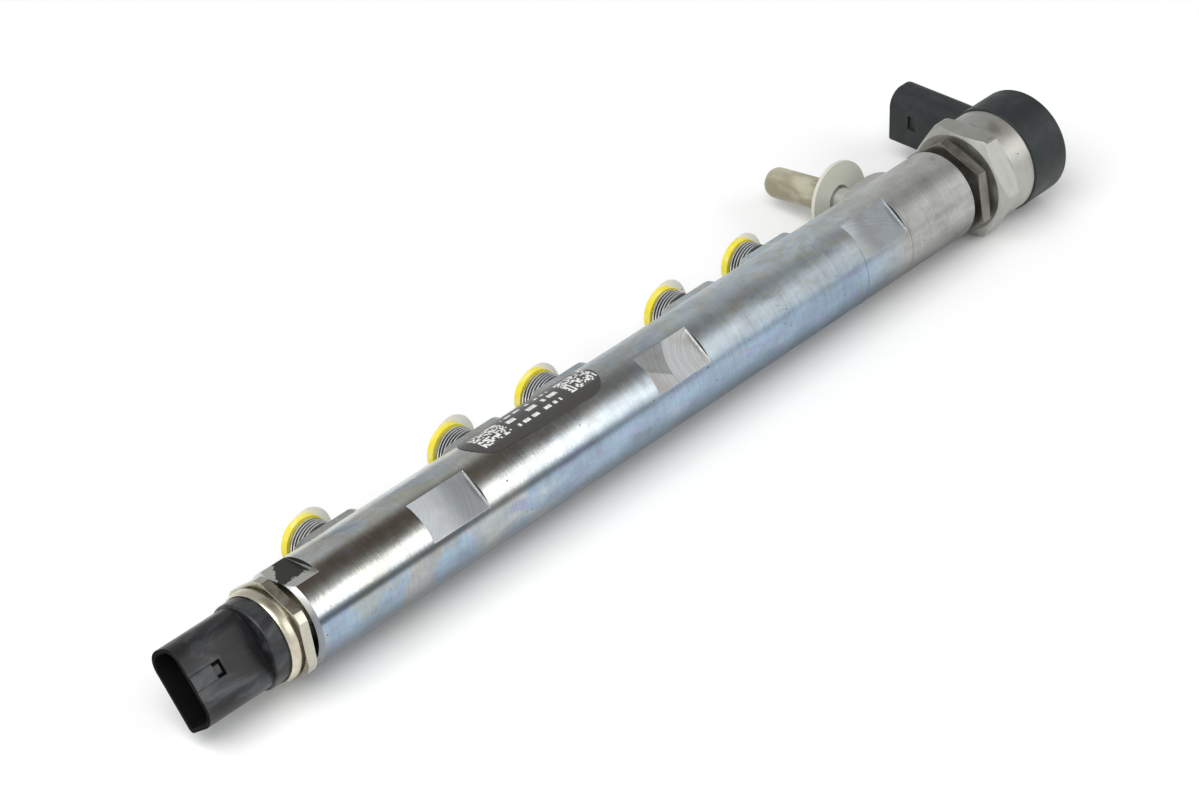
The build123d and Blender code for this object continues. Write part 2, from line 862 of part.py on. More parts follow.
laid = {name: Rot(-rest_angle(), 0, 0) * shape for name, shape in pieces.items()}
boxes = [shape.bounding_box() for shape in laid.values()]
middle_x = (min(box.min.X for box in boxes) + max(box.max.X for box in boxes)) / 2
middle_y = (min(box.min.Y for box in boxes) + max(box.max.Y for box in boxes)) / 2
shift = Pos(-middle_x, -middle_y, -min(box.min.Z for box in boxes))

os.makedirs("parts", exist_ok=True)
for name, shape in laid.items():
    export_step(shift * shape, f"parts/{name}.step")
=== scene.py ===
import math

import bpy
from mathutils import Matrix, Vector


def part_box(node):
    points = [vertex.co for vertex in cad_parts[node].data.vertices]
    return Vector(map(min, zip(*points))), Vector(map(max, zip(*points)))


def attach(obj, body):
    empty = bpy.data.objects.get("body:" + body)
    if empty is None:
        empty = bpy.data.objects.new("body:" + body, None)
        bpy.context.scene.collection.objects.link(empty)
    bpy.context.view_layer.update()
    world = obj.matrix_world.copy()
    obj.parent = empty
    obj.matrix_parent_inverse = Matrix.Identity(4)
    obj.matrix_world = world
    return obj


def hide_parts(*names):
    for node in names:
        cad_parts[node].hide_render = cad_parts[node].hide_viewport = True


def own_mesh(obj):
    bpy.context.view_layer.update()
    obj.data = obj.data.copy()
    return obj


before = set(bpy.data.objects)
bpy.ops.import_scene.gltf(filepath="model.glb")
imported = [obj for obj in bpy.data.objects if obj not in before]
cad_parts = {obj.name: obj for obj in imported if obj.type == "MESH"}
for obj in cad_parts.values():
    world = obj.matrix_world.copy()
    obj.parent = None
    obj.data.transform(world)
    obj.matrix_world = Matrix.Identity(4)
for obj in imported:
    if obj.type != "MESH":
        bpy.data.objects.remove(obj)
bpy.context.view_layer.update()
print("frame loaded")

millimetre = 0.001

# Where the rail lies: its axis is the coil's own, and its nipples point a little below level
coilLow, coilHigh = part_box("valve_coil")
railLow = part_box("rail_body")[0]
rail = {
    "endX": railLow.x,  # the sensor's end face
    "axisY": (coilLow.y + coilHigh.y) / 2,
    "axisZ": (coilLow.z + coilHigh.z) / 2,
    "radius": 14.0,  # mm
    "dip": 10.376,  # degrees
}
dip = math.radians(rail["dip"])
mmPerDegree = rail["radius"] * math.pi / 180.0

# The forging, in mm along the rail and out from its axis
railShape = {
    "nipplePlaces": (30.0, 84.0, 118.0, 171.5, 205.0),
    "returnPlace": 250.7,
    "nippleFrom": 16.6,
    "threadFrom": 17.0,
    "threadTo": 23.2,
    "crest": 7.0,  # radius of the thread
    "root": 6.42,
    "pitch": 1.0,
    "turns": 5,
    "flats": {"milledNear": (42.3, 62.7), "milledMiddle": (129.1, 149.9), "milledFar": (217.7, 236.7)},
    "flatTurn": 44.0,  # degrees from the rail's top towards the camera
    "flatDistance": 12.6,
    "endFlatDistance": 12.4,
    "endFlatLength": 9.2,
    "chamferLength": 1.1,
    "chamferFrom": 12.0,
    "edge": 0.1,  # width of the fine bevel
    "bevelFrom": 22.0,  # degrees that an edge turns by
}


# A point given in mm along the rail, along the nipples and square to both
def railPoint(along, out, up):
    return Vector((
        rail["endX"] + along * millimetre,
        rail["axisY"] + (out * math.cos(dip) + up * math.sin(dip)) * millimetre,
        rail["axisZ"] + (up * math.cos(dip) - out * math.sin(dip)) * millimetre,
    ))


# The way back: where a point lies in the rail's own frame
def railCoordinates(point):
    y = (point.y - rail["axisY"]) / millimetre
    z = (point.z - rail["axisZ"]) / millimetre
    return (
        (point.x - rail["endX"]) / millimetre,
        y * math.cos(dip) - z * math.sin(dip),
        y * math.sin(dip) + z * math.cos(dip),
    )


# The lines that a piece's turned surfaces run round: a point and a direction
railLine = (railPoint(0, 0, 0), Vector((1, 0, 0)))


def nippleLine(place):
    return (railPoint(place, 0, 0), (railPoint(place, 1, 0) - railPoint(place, 0, 0)).normalized())


# Camera at the photograph's angle
photoCamera = {
    "target": (-0.01354, -0.01133, 0.01675),
    "distance": 0.95864,
    "azimuth": -47.607,
    "elevation": 36.377,
    "lens": 105.3,
    "sensorWidth": 36.0,
    "clipStart": 0.01,
}


def directionFrom(azimuth, elevation):
    turn = math.radians(azimuth)
    rise = math.radians(elevation)
    return Vector((math.sin(turn) * math.cos(rise), -math.cos(turn) * math.cos(rise), math.sin(rise)))


def setCamera():
    back = directionFrom(photoCamera["azimuth"], photoCamera["elevation"])
    place = Vector(photoCamera["target"]) + back * photoCamera["distance"]
    bpy.ops.object.camera_add(location=place, rotation=back.to_track_quat("Z", "Y").to_euler())
    camera = bpy.context.object
    camera.name = "photoCamera"
    camera.data.lens = photoCamera["lens"]
    camera.data.sensor_width = photoCamera["sensorWidth"]
    camera.data.clip_start = photoCamera["clipStart"]
    bpy.context.scene.camera = camera


# Node helpers: each gives back the socket that carries on
def addNode(tree, kind, inputs=None, **settings):
    node = tree.nodes.new(kind)
    for name, value in settings.items():
        setattr(node, name, value)
    for key, value in (inputs or {}).items():
        if isinstance(value, bpy.types.NodeSocket):
            tree.links.new(value, node.inputs[key])
        else:
            node.inputs[key].default_value = value
    return node


def calculate(tree, operation, *values, clamp=False):
    inputs = dict(enumerate(values))
    return addNode(tree, "ShaderNodeMath", inputs, operation=operation, use_clamp=clamp).outputs[0]


def times(tree, first, second):
    return calculate(tree, "MULTIPLY", first, second)


def minus(tree, first, second):
    return calculate(tree, "SUBTRACT", first, second)


# The product of two values, with a third added to it
def timesPlus(tree, first, second, third):
    return calculate(tree, "MULTIPLY_ADD", first, second, third)


def calculateVector(tree, operation, first, second):
    node = addNode(tree, "ShaderNodeVectorMath", {0: first, 1: second}, operation=operation)
    return node.outputs["Value" if operation in ("DISTANCE", "DOT_PRODUCT") else "Vector"]


def step(tree, value, low, high, before=0.0, after=1.0):
    inputs = {0: value, 1: low, 2: high, 3: before, 4: after}
    return addNode(tree, "ShaderNodeMapRange", inputs, interpolation_type="SMOOTHSTEP").outputs[0]


# How far a value is from a place
def away(tree, value, place):
    return calculate(tree, "ABSOLUTE", minus(tree, value, place))


# 1 close to a place, falling to 0 at the given distance from it
def closeTo(tree, value, place, reach):
    return step(tree, away(tree, value, place), 0.0, reach, 1.0, 0.0)


def blend(tree, amount, first, second):
    inputs = {0: amount, 6: first, 7: second}
    return addNode(tree, "ShaderNodeMix", inputs, data_type="RGBA").outputs[2]


# A colour made darker where the amount is below 1
def darkened(tree, shade, amount):
    inputs = {0: shade, "Scale": amount}
    return addNode(tree, "ShaderNodeVectorMath", inputs, operation="SCALE").outputs[0]


# A light factor changed by a share of itself in one place
def relit(tree, light, where, share):
    return times(tree, light, timesPlus(tree, where, share, 1.0))


def noise(tree, vector, scale, detail, roughness, distortion=0.0):
    inputs = {
        "Vector": vector,
        "Scale": scale,
        "Detail": detail,
        "Roughness": roughness,
        "Distortion": distortion,
    }
    return addNode(tree, "ShaderNodeTexNoise", inputs).outputs["Fac"]


# Relief from a height, its depth given in mm
def bump(tree, height, strength, depth, below=None):
    inputs = {"Height": height, "Strength": strength, "Distance": depth * millimetre}
    if below is not None:
        inputs["Normal"] = below
    return addNode(tree, "ShaderNodeBump", inputs).outputs[0]


def spotOf(tree):
    return addNode(tree, "ShaderNodeTexCoord").outputs["Object"]


def stretched(tree, vector, x, y, z=1.0):
    return calculateVector(tree, "MULTIPLY", vector, (x, y, z))


def spotInMillimetres(tree, spot):
    return stretched(tree, spot, 1000.0, 1000.0, 1000.0)


# Millimetres along the rail, degrees round it from its top towards the camera, and both unrolled in mm
def railPlaces(tree):
    spot = addNode(tree, "ShaderNodeSeparateXYZ", {0: spotOf(tree)})
    along = times(tree, minus(tree, spot.outputs[0], rail["endX"]), 1000.0)
    across = minus(tree, rail["axisY"], spot.outputs[1])
    up = minus(tree, spot.outputs[2], rail["axisZ"])
    turn = timesPlus(tree, calculate(tree, "ARCTAN2", across, up), 180.0 / math.pi, rail["dip"])
    arc = times(tree, turn, mmPerDegree)
    unrolled = addNode(tree, "ShaderNodeCombineXYZ", {0: along, 1: arc}).outputs[0]
    return along, turn, unrolled


# How many mm a point lies from the rail's axis in a direction square to it
def heightOver(tree, out, up):
    spot = calculateVector(tree, "SUBTRACT", spotOf(tree), tuple(railPoint(0, 0, 0)))
    level = (out * math.cos(dip) + up * math.sin(dip)) / millimetre
    upright = (up * math.cos(dip) - out * math.sin(dip)) / millimetre
    return calculateVector(tree, "DOT_PRODUCT", spot, (0.0, level, upright))


# Sparse dark pits: small rounds round the points of a cell pattern, most of them left out
def pits(tree, vector, scale, size, share):
    cells = addNode(tree, "ShaderNodeTexVoronoi", {"Vector": vector, "Scale": scale, "Randomness": 1.0})
    near = step(tree, cells.outputs["Distance"], size * 0.5, size, 1.0, 0.0)
    pick = addNode(tree, "ShaderNodeSeparateColor", {0: cells.outputs["Color"]}).outputs[0]
    return times(tree, near, calculate(tree, "LESS_THAN", pick, share))


def colour(red, green, blue):
    return (red, green, blue, 1.0)


def startFinish(name, **constants):
    finish = bpy.data.materials.new(name)
    finish.use_nodes = True
    shader = finish.node_tree.nodes["Principled BSDF"]
    for socket, value in constants.items():
        shader.inputs[socket.replace("_", " ")].default_value = value
    return finish, finish.node_tree, shader


# Link what a finish works out to its shader
def linkFinish(tree, shader, **sockets):
    for name, value in sockets.items():
        tree.links.new(value, shader.inputs[name.replace("_", " ")])


zincLook = {
    "near": colour(0.535, 0.55, 0.54),  # sensor's end
    "middle": colour(0.46, 0.515, 0.55),
    "far": colour(0.48, 0.485, 0.47),  # valve's end
    "blue": colour(0.35, 0.455, 0.565),
    "lilac": colour(0.38, 0.41, 0.58),
    "mist": colour(0.43, 0.49, 0.53),  # on the upper side
    "straw": colour(0.43, 0.415, 0.37),
    "olive": colour(0.47, 0.475, 0.40),
    # painted reflection: brown where the dark ceiling is reflected near the sensor's end
    "paintedReflectionUmber": colour(0.46, 0.385, 0.345),
    "film": colour(0.26, 0.24, 0.21),
    "ice": colour(0.50, 0.56, 0.60),  # blotches on top: a straw fringe, pale blue within, then deeper blue
    "fringe": colour(0.49, 0.48, 0.40),
    "deep": colour(0.385, 0.435, 0.52),
    "pit": colour(0.04, 0.032, 0.028),
    "tintedTo": (240.0, 208.0),  # mm along the rail
    "nearEnd": (78.0, 50.0),
    "lowerSide": (58.0, 80.0),  # degrees round from the top
    "backSide": (-12.0, -44.0),
    "topSide": (52.0, 34.0),
    "paintedReflectionUmberAt": 28.0,
    "fringeAt": 0.52,  # of the tint's pattern
    "strawPatch": (38.0, 8.0, 30.0),  # mm along the rail, its reach, and how far its edges wander
    "roughness": (25.0, 240.0, 0.17, 0.57),  # mm along the rail from, to, and how rough it is at each
    "patchyRoughness": 0.16,
    "leastRoughness": 0.12,
    "groovesFade": (190.0, 240.0, 1.0, 0.3),
}

# Patterns in space: scale, detail, roughness and distortion
zincClouds = {
    "broad": (48.0, 3.0, 0.55, 0.4),
    "patchy": (125.0, 4.0, 0.62, 0.7),
}

# Patterns on the unrolled surface: how close along and round it, detail, roughness and distortion
zincPatterns = {
    "fine": (0.1, 0.3, 4.0, 0.6, 0.0),
    "grime": (0.07, 0.13, 7.0, 0.72, 0.0),
    "turning": (2.4, 0.035, 4.0, 0.75, 0.0),
    "waves": (0.5, 0.12, 2.0, 0.5, 0.0),
    "tint": (0.06, 0.12, 4.0, 0.55, 0.5),
    "crowding": (0.07, 0.07, 2.0, 0.5, 0.0),
}

# Tints from the first laid on: colour, region, pattern, the pattern's range and the tint's strength over it
zincTints = (
    ("middle", "all", "along", (60.0, 135.0, 0.0, 1.0)),
    ("far", "all", "along", (206.0, 234.0, 0.0, 1.0)),
    ("blue", "lowerSide", "broad", (0.32, 0.44, 0.0, 1.0)),
    ("lilac", "lowerSide", "fine", (0.54, 0.6, 0.0, 0.75)),
    ("straw", "lowerSide", "bare", (0.1, 0.25, 0.0, 0.7)),
    ("mist", "backSide", "patchy", (0.44, 0.54, 0.2, 0.8)),
    ("straw", "all", "patchy", (0.61, 0.67, 0.0, 0.45)),
    ("olive", "nearEnd", "broad", (0.54, 0.44, 0.0, 0.5)),
    # painted reflection: a brown band round the rail near the sensor's end
    ("paintedReflectionUmber", "nearEnd", "offPaintedReflectionUmber", (0.0, 16.0, 0.6, 0.0)),
    ("film", "nearEnd", "turn", (-50.0, -66.0, 0.0, 0.75)),
    ("fringe", "topSide", "offFringe", (0.0, 0.07, 0.55, 0.0)),
    ("ice", "topSide", "tint", (0.53, 0.6, 0.0, 0.75)),
    ("deep", "topSide", "tint", (0.6, 0.7, 0.0, 0.75)),
    ("film", "all", "grime", (0.58, 0.72, 0.0, 0.55)),
)

# Where the plating is lighter or darker than its tint, in degrees round from the top and mm along: painted
# shade underneath, a seam darkened partly as a painted reflection, painted reflection bands, painted light
# on the upper side, and fine dark rings, turning marks and grime
zincLight = {
    # painted shade: the plating darkens towards the floor under the rail
    "paintedUndersideShade": (88.0, 128.0, 0.97, 0.38),  # from, to, and the light at each
    # the seam's dark line is partly a real seam and partly a painted reflection of the dark horizon
    "seamAndReflectionAt": (73.0, 7.0),  # middle and reach
    "seamAndReflectionAlong": (215.0, 20.0, 0.25, 1.0),
    "seamAndPaintedReflection": -0.58,  # share of the light, as in the next ones
    # painted light: the upper side made lighter along the rail's middle
    "paintedTopLightFrom": (32.0, 8.0),
    "paintedTopLightAlong": (125.0, 165.0),
    "top": 0.26,
    # painted reflection: darker bands where the ceiling and the softbox are reflected, towards the valve's
    # end
    "paintedReflectionAlong": (120.0, 175.0),
    "paintedReflectionBands": ((36.0, 19.0, -0.2), (60.0, 18.0, -0.16)),  # middle, reach and share
    "rings": (217.0, 237.4),  # fine dark lines round it
    "ringWidth": 0.35,
    "ringRound": (30.0, 60.0),
    "ring": -0.4,
    "turning": (0.3, 0.7, 0.9, 1.09),  # the pattern from, to, and the light at each
    "grime": (0.3, 0.62, 1.08, 0.84),
}

# Pits: how close, their size and the share that shows, loose everywhere and crowded in some places
zincPits = {
    "loose": (0.2, 0.06, 0.3),
    "crowded": (0.5, 0.13, 0.4),
    "crowdedFrom": (0.54, 0.6),  # of the crowding pattern
}

# Relief from the lowest up: pattern, strength and depth in mm
zincRelief = (
    ("grooves", 0.5, 0.06),
    ("waves", 0.22, 0.14),
    ("grime", 0.15, 0.1),
    ("holes", 0.8, -0.1),
)


# The tinted colour of the plating, with a brown band painted in as a reflection near the sensor's end
def zincShade(tree, along, turn, patterns):
    look = zincLook
    fade = step(tree, along, *look["tintedTo"])
    regions = {"nearEnd": step(tree, along, *look["nearEnd"])}
    for side in ("lowerSide", "backSide", "topSide"):
        regions[side] = times(tree, step(tree, turn, *look[side]), fade)
    middle, reach, wander = look["strawPatch"]
    shifted = timesPlus(tree, minus(tree, patterns["broad"], 0.5), wander, along)
    ranges = {
        "along": along,
        "turn": turn,
        "bare": closeTo(tree, shifted, middle, reach),
        "offPaintedReflectionUmber": away(tree, turn, look["paintedReflectionUmberAt"]),
        "offFringe": away(tree, patterns["tint"], look["fringeAt"]),
        **patterns,
    }
    shade = look["near"]
    for colourName, region, pattern, span in zincTints:
        amount = step(tree, ranges[pattern], *span)
        if region in regions:
            amount = times(tree, regions[region], amount)
        shade = blend(tree, amount, shade, look[colourName])
    return blend(tree, patterns["holes"], shade, look["pit"])


# How light the plating is round the rail and along it: painted shade, painted reflections and painted
# light, with fine dark rings, turning marks and grime
def zincLightness(tree, along, turn, patterns):
    look = zincLight
    # painted shade underneath the rail
    light = step(tree, turn, *look["paintedUndersideShade"])
    # seam darkened, partly as a painted reflection
    seamAndPaintedReflection = times(tree, closeTo(tree, turn, *look["seamAndReflectionAt"]), step(tree, along, *look["seamAndReflectionAlong"]))
    light = relit(tree, light, seamAndPaintedReflection, look["seamAndPaintedReflection"])
    # painted light on the upper side
    top = times(tree, step(tree, turn, *look["paintedTopLightFrom"]), step(tree, along, *look["paintedTopLightAlong"]))
    light = relit(tree, light, top, look["top"])
    # painted reflection bands
    late = step(tree, along, *look["paintedReflectionAlong"])
    for middle, reach, share in look["paintedReflectionBands"]:
        light = relit(tree, light, times(tree, late, closeTo(tree, turn, middle, reach)), share)
    onSide = step(tree, turn, *look["ringRound"])
    for place in look["rings"]:
        ring = times(tree, closeTo(tree, along, place, look["ringWidth"]), onSide)
        light = relit(tree, light, ring, look["ring"])
    for pattern in ("turning", "grime"):
        light = times(tree, light, step(tree, patterns[pattern], *look[pattern]))
    return light


# Zinc-plated and passivated forging: satin with bluish, lilac and straw tints, turning marks and pits, and
# with painted shade, painted reflections and painted light laid into its colour
def zincSteel():
    finish, tree, shader = startFinish("zincSteel", Metallic=1.0)
    look = zincLook
    along, turn, unrolled = railPlaces(tree)
    spot = spotOf(tree)
    patterns = {name: noise(tree, spot, *cloud) for name, cloud in zincClouds.items()}
    for name, (closeAlong, closeRound, *grain) in zincPatterns.items():
        patterns[name] = noise(tree, stretched(tree, unrolled, closeAlong, closeRound), 1.0, *grain)
    crowded = step(tree, patterns["crowding"], *zincPits["crowdedFrom"])
    crowdedPits = times(tree, crowded, pits(tree, unrolled, *zincPits["crowded"]))
    loosePits = pits(tree, unrolled, *zincPits["loose"])
    patterns["holes"] = calculate(tree, "MAXIMUM", loosePits, crowdedPits)
    patterns["grooves"] = times(tree, patterns["turning"], step(tree, along, *look["groovesFade"]))
    shade = zincShade(tree, along, turn, patterns)
    light = zincLightness(tree, along, turn, patterns)
    satin = step(tree, along, *look["roughness"])
    satin = timesPlus(tree, minus(tree, patterns["patchy"], 0.5), look["patchyRoughness"], satin)
    satin = calculate(tree, "MAXIMUM", satin, look["leastRoughness"])
    relief = None
    for name, strength, depth in zincRelief:
        relief = bump(tree, patterns[name], strength, depth, relief)
    linkFinish(tree, shader, Base_Color=darkened(tree, shade, light), Roughness=satin, Normal=relief)
    return finish


# The three milled flats
nearFlatLook = {
    "name": "milledNear",
    "centre": (38.0, 20.0),  # the cutter's, in mm along and degrees round from the top
    "bright": colour(0.60, 0.635, 0.665),
    "dull": colour(0.45, 0.475, 0.50),
    "brown": colour(0.43, 0.41, 0.39),
    "stain": 0.35,  # how much of the brown shows
    "cutterStep": 0.34,  # mm between two arcs
    "roughness": 0.44,
    "relief": 0.16,
    "tones": (48.0, 58.0, 1.1, 0.58),  # mm along the rail from, to, and how light it is at each
}

middleFlatLook = {
    "name": "milledMiddle",
    "centre": (154.0, 62.0),
    "bright": colour(0.50, 0.515, 0.53),
    "dull": colour(0.38, 0.385, 0.385),
    "brown": colour(0.38, 0.355, 0.33),
    "stain": 0.7,
    "cutterStep": 0.6,
    "roughness": 0.5,
    "relief": 0.3,
    "tones": (16.6, 17.6, 1.12, 0.66),  # here in mm from the cutter's centre
    "corner": (131.0, 41.0, 3.1, 1.05),  # mm along, degrees there, degrees for each mm, and how light it is
}

farFlatLook = {
    "name": "milledFar",
    "centre": (215.0, 160.0),
    "bright": colour(0.56, 0.60, 0.64),
    "dull": colour(0.50, 0.54, 0.57),
    "brown": colour(0.47, 0.48, 0.48),
    "stain": 0.8,
    "cutterStep": 0.6,
    "roughness": 0.5,
    "relief": 0.05,
    "tones": (218.0, 226.0, 0.9, 0.58),
}

# What the three flats share
cutterLook = {
    "ragged": (0.35, 3.0, 0.6),  # a noise's scale, detail and roughness, as in the next one
    "clouds": (0.11, 3.0, 0.5),
    "lines": (2.0, 0.7),  # detail and roughness
    "wander": 0.9,  # mm that an arc strays
    "tonesWander": 2.0,
    "shine": (0.35, 0.68),  # where the arcs turn from dull to bright
    "stained": (0.45, 0.62),
    "cornerEdge": 1.5,  # degrees
    "smoothing": (0.3, 0.7),  # where the arcs turn from rough to smooth
    "rougher": 0.08,
    "smoother": 0.04,
    "depth": 0.05,  # mm
}


# How light the middle flat is: by the distance from the cutter's centre, with one corner apart
def corneredTone(tree, look, along, turn, reach):
    light = step(tree, reach, *look["tones"])
    cornerAlong, cornerTurn, lean, tone = look["corner"]
    leaning = calculate(tree, "ADD", turn, lean * cornerAlong)
    side = timesPlus(tree, along, -lean, leaning)
    edge = cutterLook["cornerEdge"]
    inCorner = step(tree, side, cornerTurn - edge, cornerTurn + edge)
    return addNode(tree, "ShaderNodeMix", {0: inCorner, 2: light, 3: tone}).outputs[0]


# Milled flat with the cutter's arcs round a centre beyond its edge
def milledSteel(look):
    finish, tree, shader = startFinish(look["name"], Metallic=1.0)
    along, turn, unrolled = railPlaces(tree)
    centreAlong, centreTurn = look["centre"]
    ragged = noise(tree, unrolled, *cutterLook["ragged"])
    reach = calculateVector(tree, "DISTANCE", unrolled, (centreAlong, centreTurn * mmPerDegree, 0.0))
    arcs = timesPlus(tree, ragged, cutterLook["wander"], reach)
    arcSpot = addNode(tree, "ShaderNodeCombineXYZ", {0: arcs}).outputs[0]
    lines = noise(tree, arcSpot, 1 / look["cutterStep"], *cutterLook["lines"])
    shade = blend(tree, step(tree, lines, *cutterLook["shine"]), look["dull"], look["bright"])
    clouds = noise(tree, unrolled, *cutterLook["clouds"])
    stained = step(tree, clouds, *cutterLook["stained"], 0.0, look["stain"])
    shade = blend(tree, stained, shade, look["brown"])
    if "corner" in look:
        light = corneredTone(tree, look, along, turn, reach)
    else:
        light = step(tree, timesPlus(tree, ragged, cutterLook["tonesWander"], along), *look["tones"])
    roughest = look["roughness"] + cutterLook["rougher"]
    smoothest = look["roughness"] - cutterLook["smoother"]
    rough = step(tree, lines, *cutterLook["smoothing"], roughest, smoothest)
    relief = bump(tree, lines, look["relief"], cutterLook["depth"])
    linkFinish(tree, shader, Base_Color=darkened(tree, shade, light), Roughness=rough, Normal=relief)
    return finish


endFlatLook = {
    "pale": colour(0.52, 0.52, 0.48),
    "dark": colour(0.05, 0.047, 0.043),
    "from": (0.6, 0.16),  # mm along at the rail's top, and mm further for each degree towards the back
    "to": (8.9, 0.02),
    "below": 14.5,  # degrees round from the top
    "belowEdge": 1.0,
    "ragged": (0.55, 5.0, 0.62),  # a noise's scale, detail and roughness
    "wander": 22.0,  # degrees that its lower edge strays
    "fromWander": 4.4,  # mm that the others stray
    "toWander": 0.8,
    "edge": 0.15,  # mm over which each fades
    "relief": (0.2, 0.1),  # strength and depth in mm
}


# Flat by the sensor: pale steel round a dark, oily pocket with a ragged edge
def endFlatSteel():
    look = endFlatLook
    finish, tree, shader = startFinish("milledEnd", Metallic=1.0, Roughness=0.3)
    along, turn, unrolled = railPlaces(tree)
    ragged = minus(tree, noise(tree, unrolled, *look["ragged"]), 0.5)
    lower = timesPlus(tree, ragged, look["wander"], turn)
    pocket = step(tree, lower, look["below"] + look["belowEdge"], look["below"] - look["belowEdge"])
    for end, side in (("from", 1.0), ("to", -1.0)):
        place, lean = look[end]
        leaning = timesPlus(tree, turn, lean, along)
        torn = timesPlus(tree, ragged, look[end + "Wander"], leaning)
        fade = look["edge"] * side
        pocket = times(tree, pocket, step(tree, torn, place - fade, place + fade))
    shade = blend(tree, pocket, look["pale"], look["dark"])
    linkFinish(tree, shader, Base_Color=shade, Normal=bump(tree, ragged, *look["relief"]))
    return finish


wallLook = {
    # painted highlight along the foot and painted shade above it
    "foot": colour(0.88, 0.89, 0.90),
    "dark": colour(0.07, 0.066, 0.062),
    "paintedHighlightHeight": 0.5,  # mm over the flat's floor
    "edge": 0.08,
}


# Step at a flat's end: a painted highlight along its foot under a wall painted dark as shade
def wallSteel():
    look = wallLook
    finish, tree, shader = startFinish("milledWallPaintedLight", Metallic=1.0, Roughness=0.32)
    turn = math.radians(railShape["flatTurn"])
    height = heightOver(tree, -math.sin(turn), math.cos(turn))
    top = railShape["flatDistance"] + look["paintedHighlightHeight"]
    # painted shade above the foot
    inPaintedShade = step(tree, height, top - look["edge"], top + look["edge"])
    linkFinish(tree, shader, Base_Color=blend(tree, inPaintedShade, look["foot"], look["dark"]))
    return finish


ringLook = {
    # painted highlight on top, painted darker reflection towards the floor
    "paintedRingHighlight": colour(0.62, 0.62, 0.62),
    "paintedRingReflection": colour(0.26, 0.28, 0.30),
    "paintedRingReflectionFrom": 50.0,  # degrees round from the top
    "paintedRingReflectionTo": 78.0,
    "wander": 20.0,
    # this pattern only makes the edge between the two ragged and gives relief
    "worn": (0.4, 4.0, 0.6),  # a noise's scale, detail and roughness
    "relief": (0.1, 0.1),  # strength and depth in mm
}


# The rail's chamfered end: a painted highlight on top and a painted darker reflection towards the floor
def endRing():
    look = ringLook
    finish, tree, shader = startFinish("chamferedEnd", Metallic=1.0, Roughness=0.34)
    turn, unrolled = railPlaces(tree)[1:]
    worn = minus(tree, noise(tree, unrolled, *look["worn"]), 0.5)
    ragged = timesPlus(tree, worn, look["wander"], turn)
    shade = blend(tree, step(tree, ragged, look["paintedRingReflectionFrom"], look["paintedRingReflectionTo"]), look["paintedRingHighlight"], look["paintedRingReflection"])
    linkFinish(tree, shader, Base_Color=shade, Normal=bump(tree, worn, *look["relief"]))
    return finish


# Plain metals: "grain" is how close its lines follow each other along x, y and z, "depth" their relief
metalLooks = {
    "sensorSteel": {
        "bright": colour(0.55, 0.53, 0.45),
        "dull": colour(0.45, 0.43, 0.36),
        "roughness": 0.26,
        "grain": (120.0, 3200.0, 3200.0),
        "depth": 0.3,
    },
    "champagneSleeve": {
        "bright": colour(0.68, 0.63, 0.505),
        "dull": colour(0.50, 0.455, 0.36),
        "roughness": 0.3,
        "grain": (60.0, 60.0, 60.0),
        "depth": 0.01,
    },
    "valveSteel": {
        "bright": colour(0.47, 0.465, 0.435),
        "dull": colour(0.40, 0.395, 0.365),
        "roughness": 0.46,
        "grain": (2200.0, 120.0, 120.0),
        "depth": 0.05,
        "specks": 0.3,  # share of the places for one
    },
    "phosphatedNut": {
        "bright": colour(0.26, 0.25, 0.222),
        "dull": colour(0.20, 0.19, 0.168),
        "roughness": 0.42,
        "grain": (700.0, 700.0, 700.0),
        "depth": 0.06,
    },
    "brightPipe": {
        "bright": colour(0.93, 0.94, 0.95),
        "dull": colour(0.80, 0.81, 0.82),
        "roughness": 0.12,
        "grain": (300.0, 300.0, 300.0),
        "depth": 0.05,
    },
    "groundSteel": {
        "bright": colour(0.56, 0.56, 0.57),
        "dull": colour(0.42, 0.42, 0.43),
        "roughness": 0.2,
    },
    "softIron": {
        "bright": colour(0.40, 0.39, 0.38),
        "dull": colour(0.28, 0.27, 0.26),
        "roughness": 0.36,
    },
    "copperWinding": {
        "bright": colour(0.62, 0.26, 0.10),
        "dull": colour(0.38, 0.13, 0.05),
        "roughness": 0.26,
        "grain": (3800.0, 60.0, 60.0),
        "depth": 0.4,
    },
    "copperRing": {
        "bright": colour(0.72, 0.38, 0.24),
        "dull": colour(0.52, 0.25, 0.15),
        "roughness": 0.3,
    },
    "tinnedBlade": {
        "bright": colour(0.74, 0.74, 0.71),
        "dull": colour(0.58, 0.58, 0.55),
        "roughness": 0.24,
        "grain": (300.0, 2000.0, 2000.0),
        "depth": 0.08,
    },
}

# What all plain metals share
metalGrain = {
    "slow": (160.0, 4.0, 0.6, 0.4),  # a noise's scale, detail, roughness and distortion
    "lines": (1.0, 3.0, 0.6),
    "linesShare": 0.35,  # of the tone, the rest being slow
    "tones": (0.36, 0.62),  # from dull to bright
    "smoother": 0.05,
    "rougher": 0.08,
    "depth": 0.08,  # mm
    "speck": colour(0.04, 0.035, 0.03),
    "specks": (0.3, 0.09),  # how close and their size
}


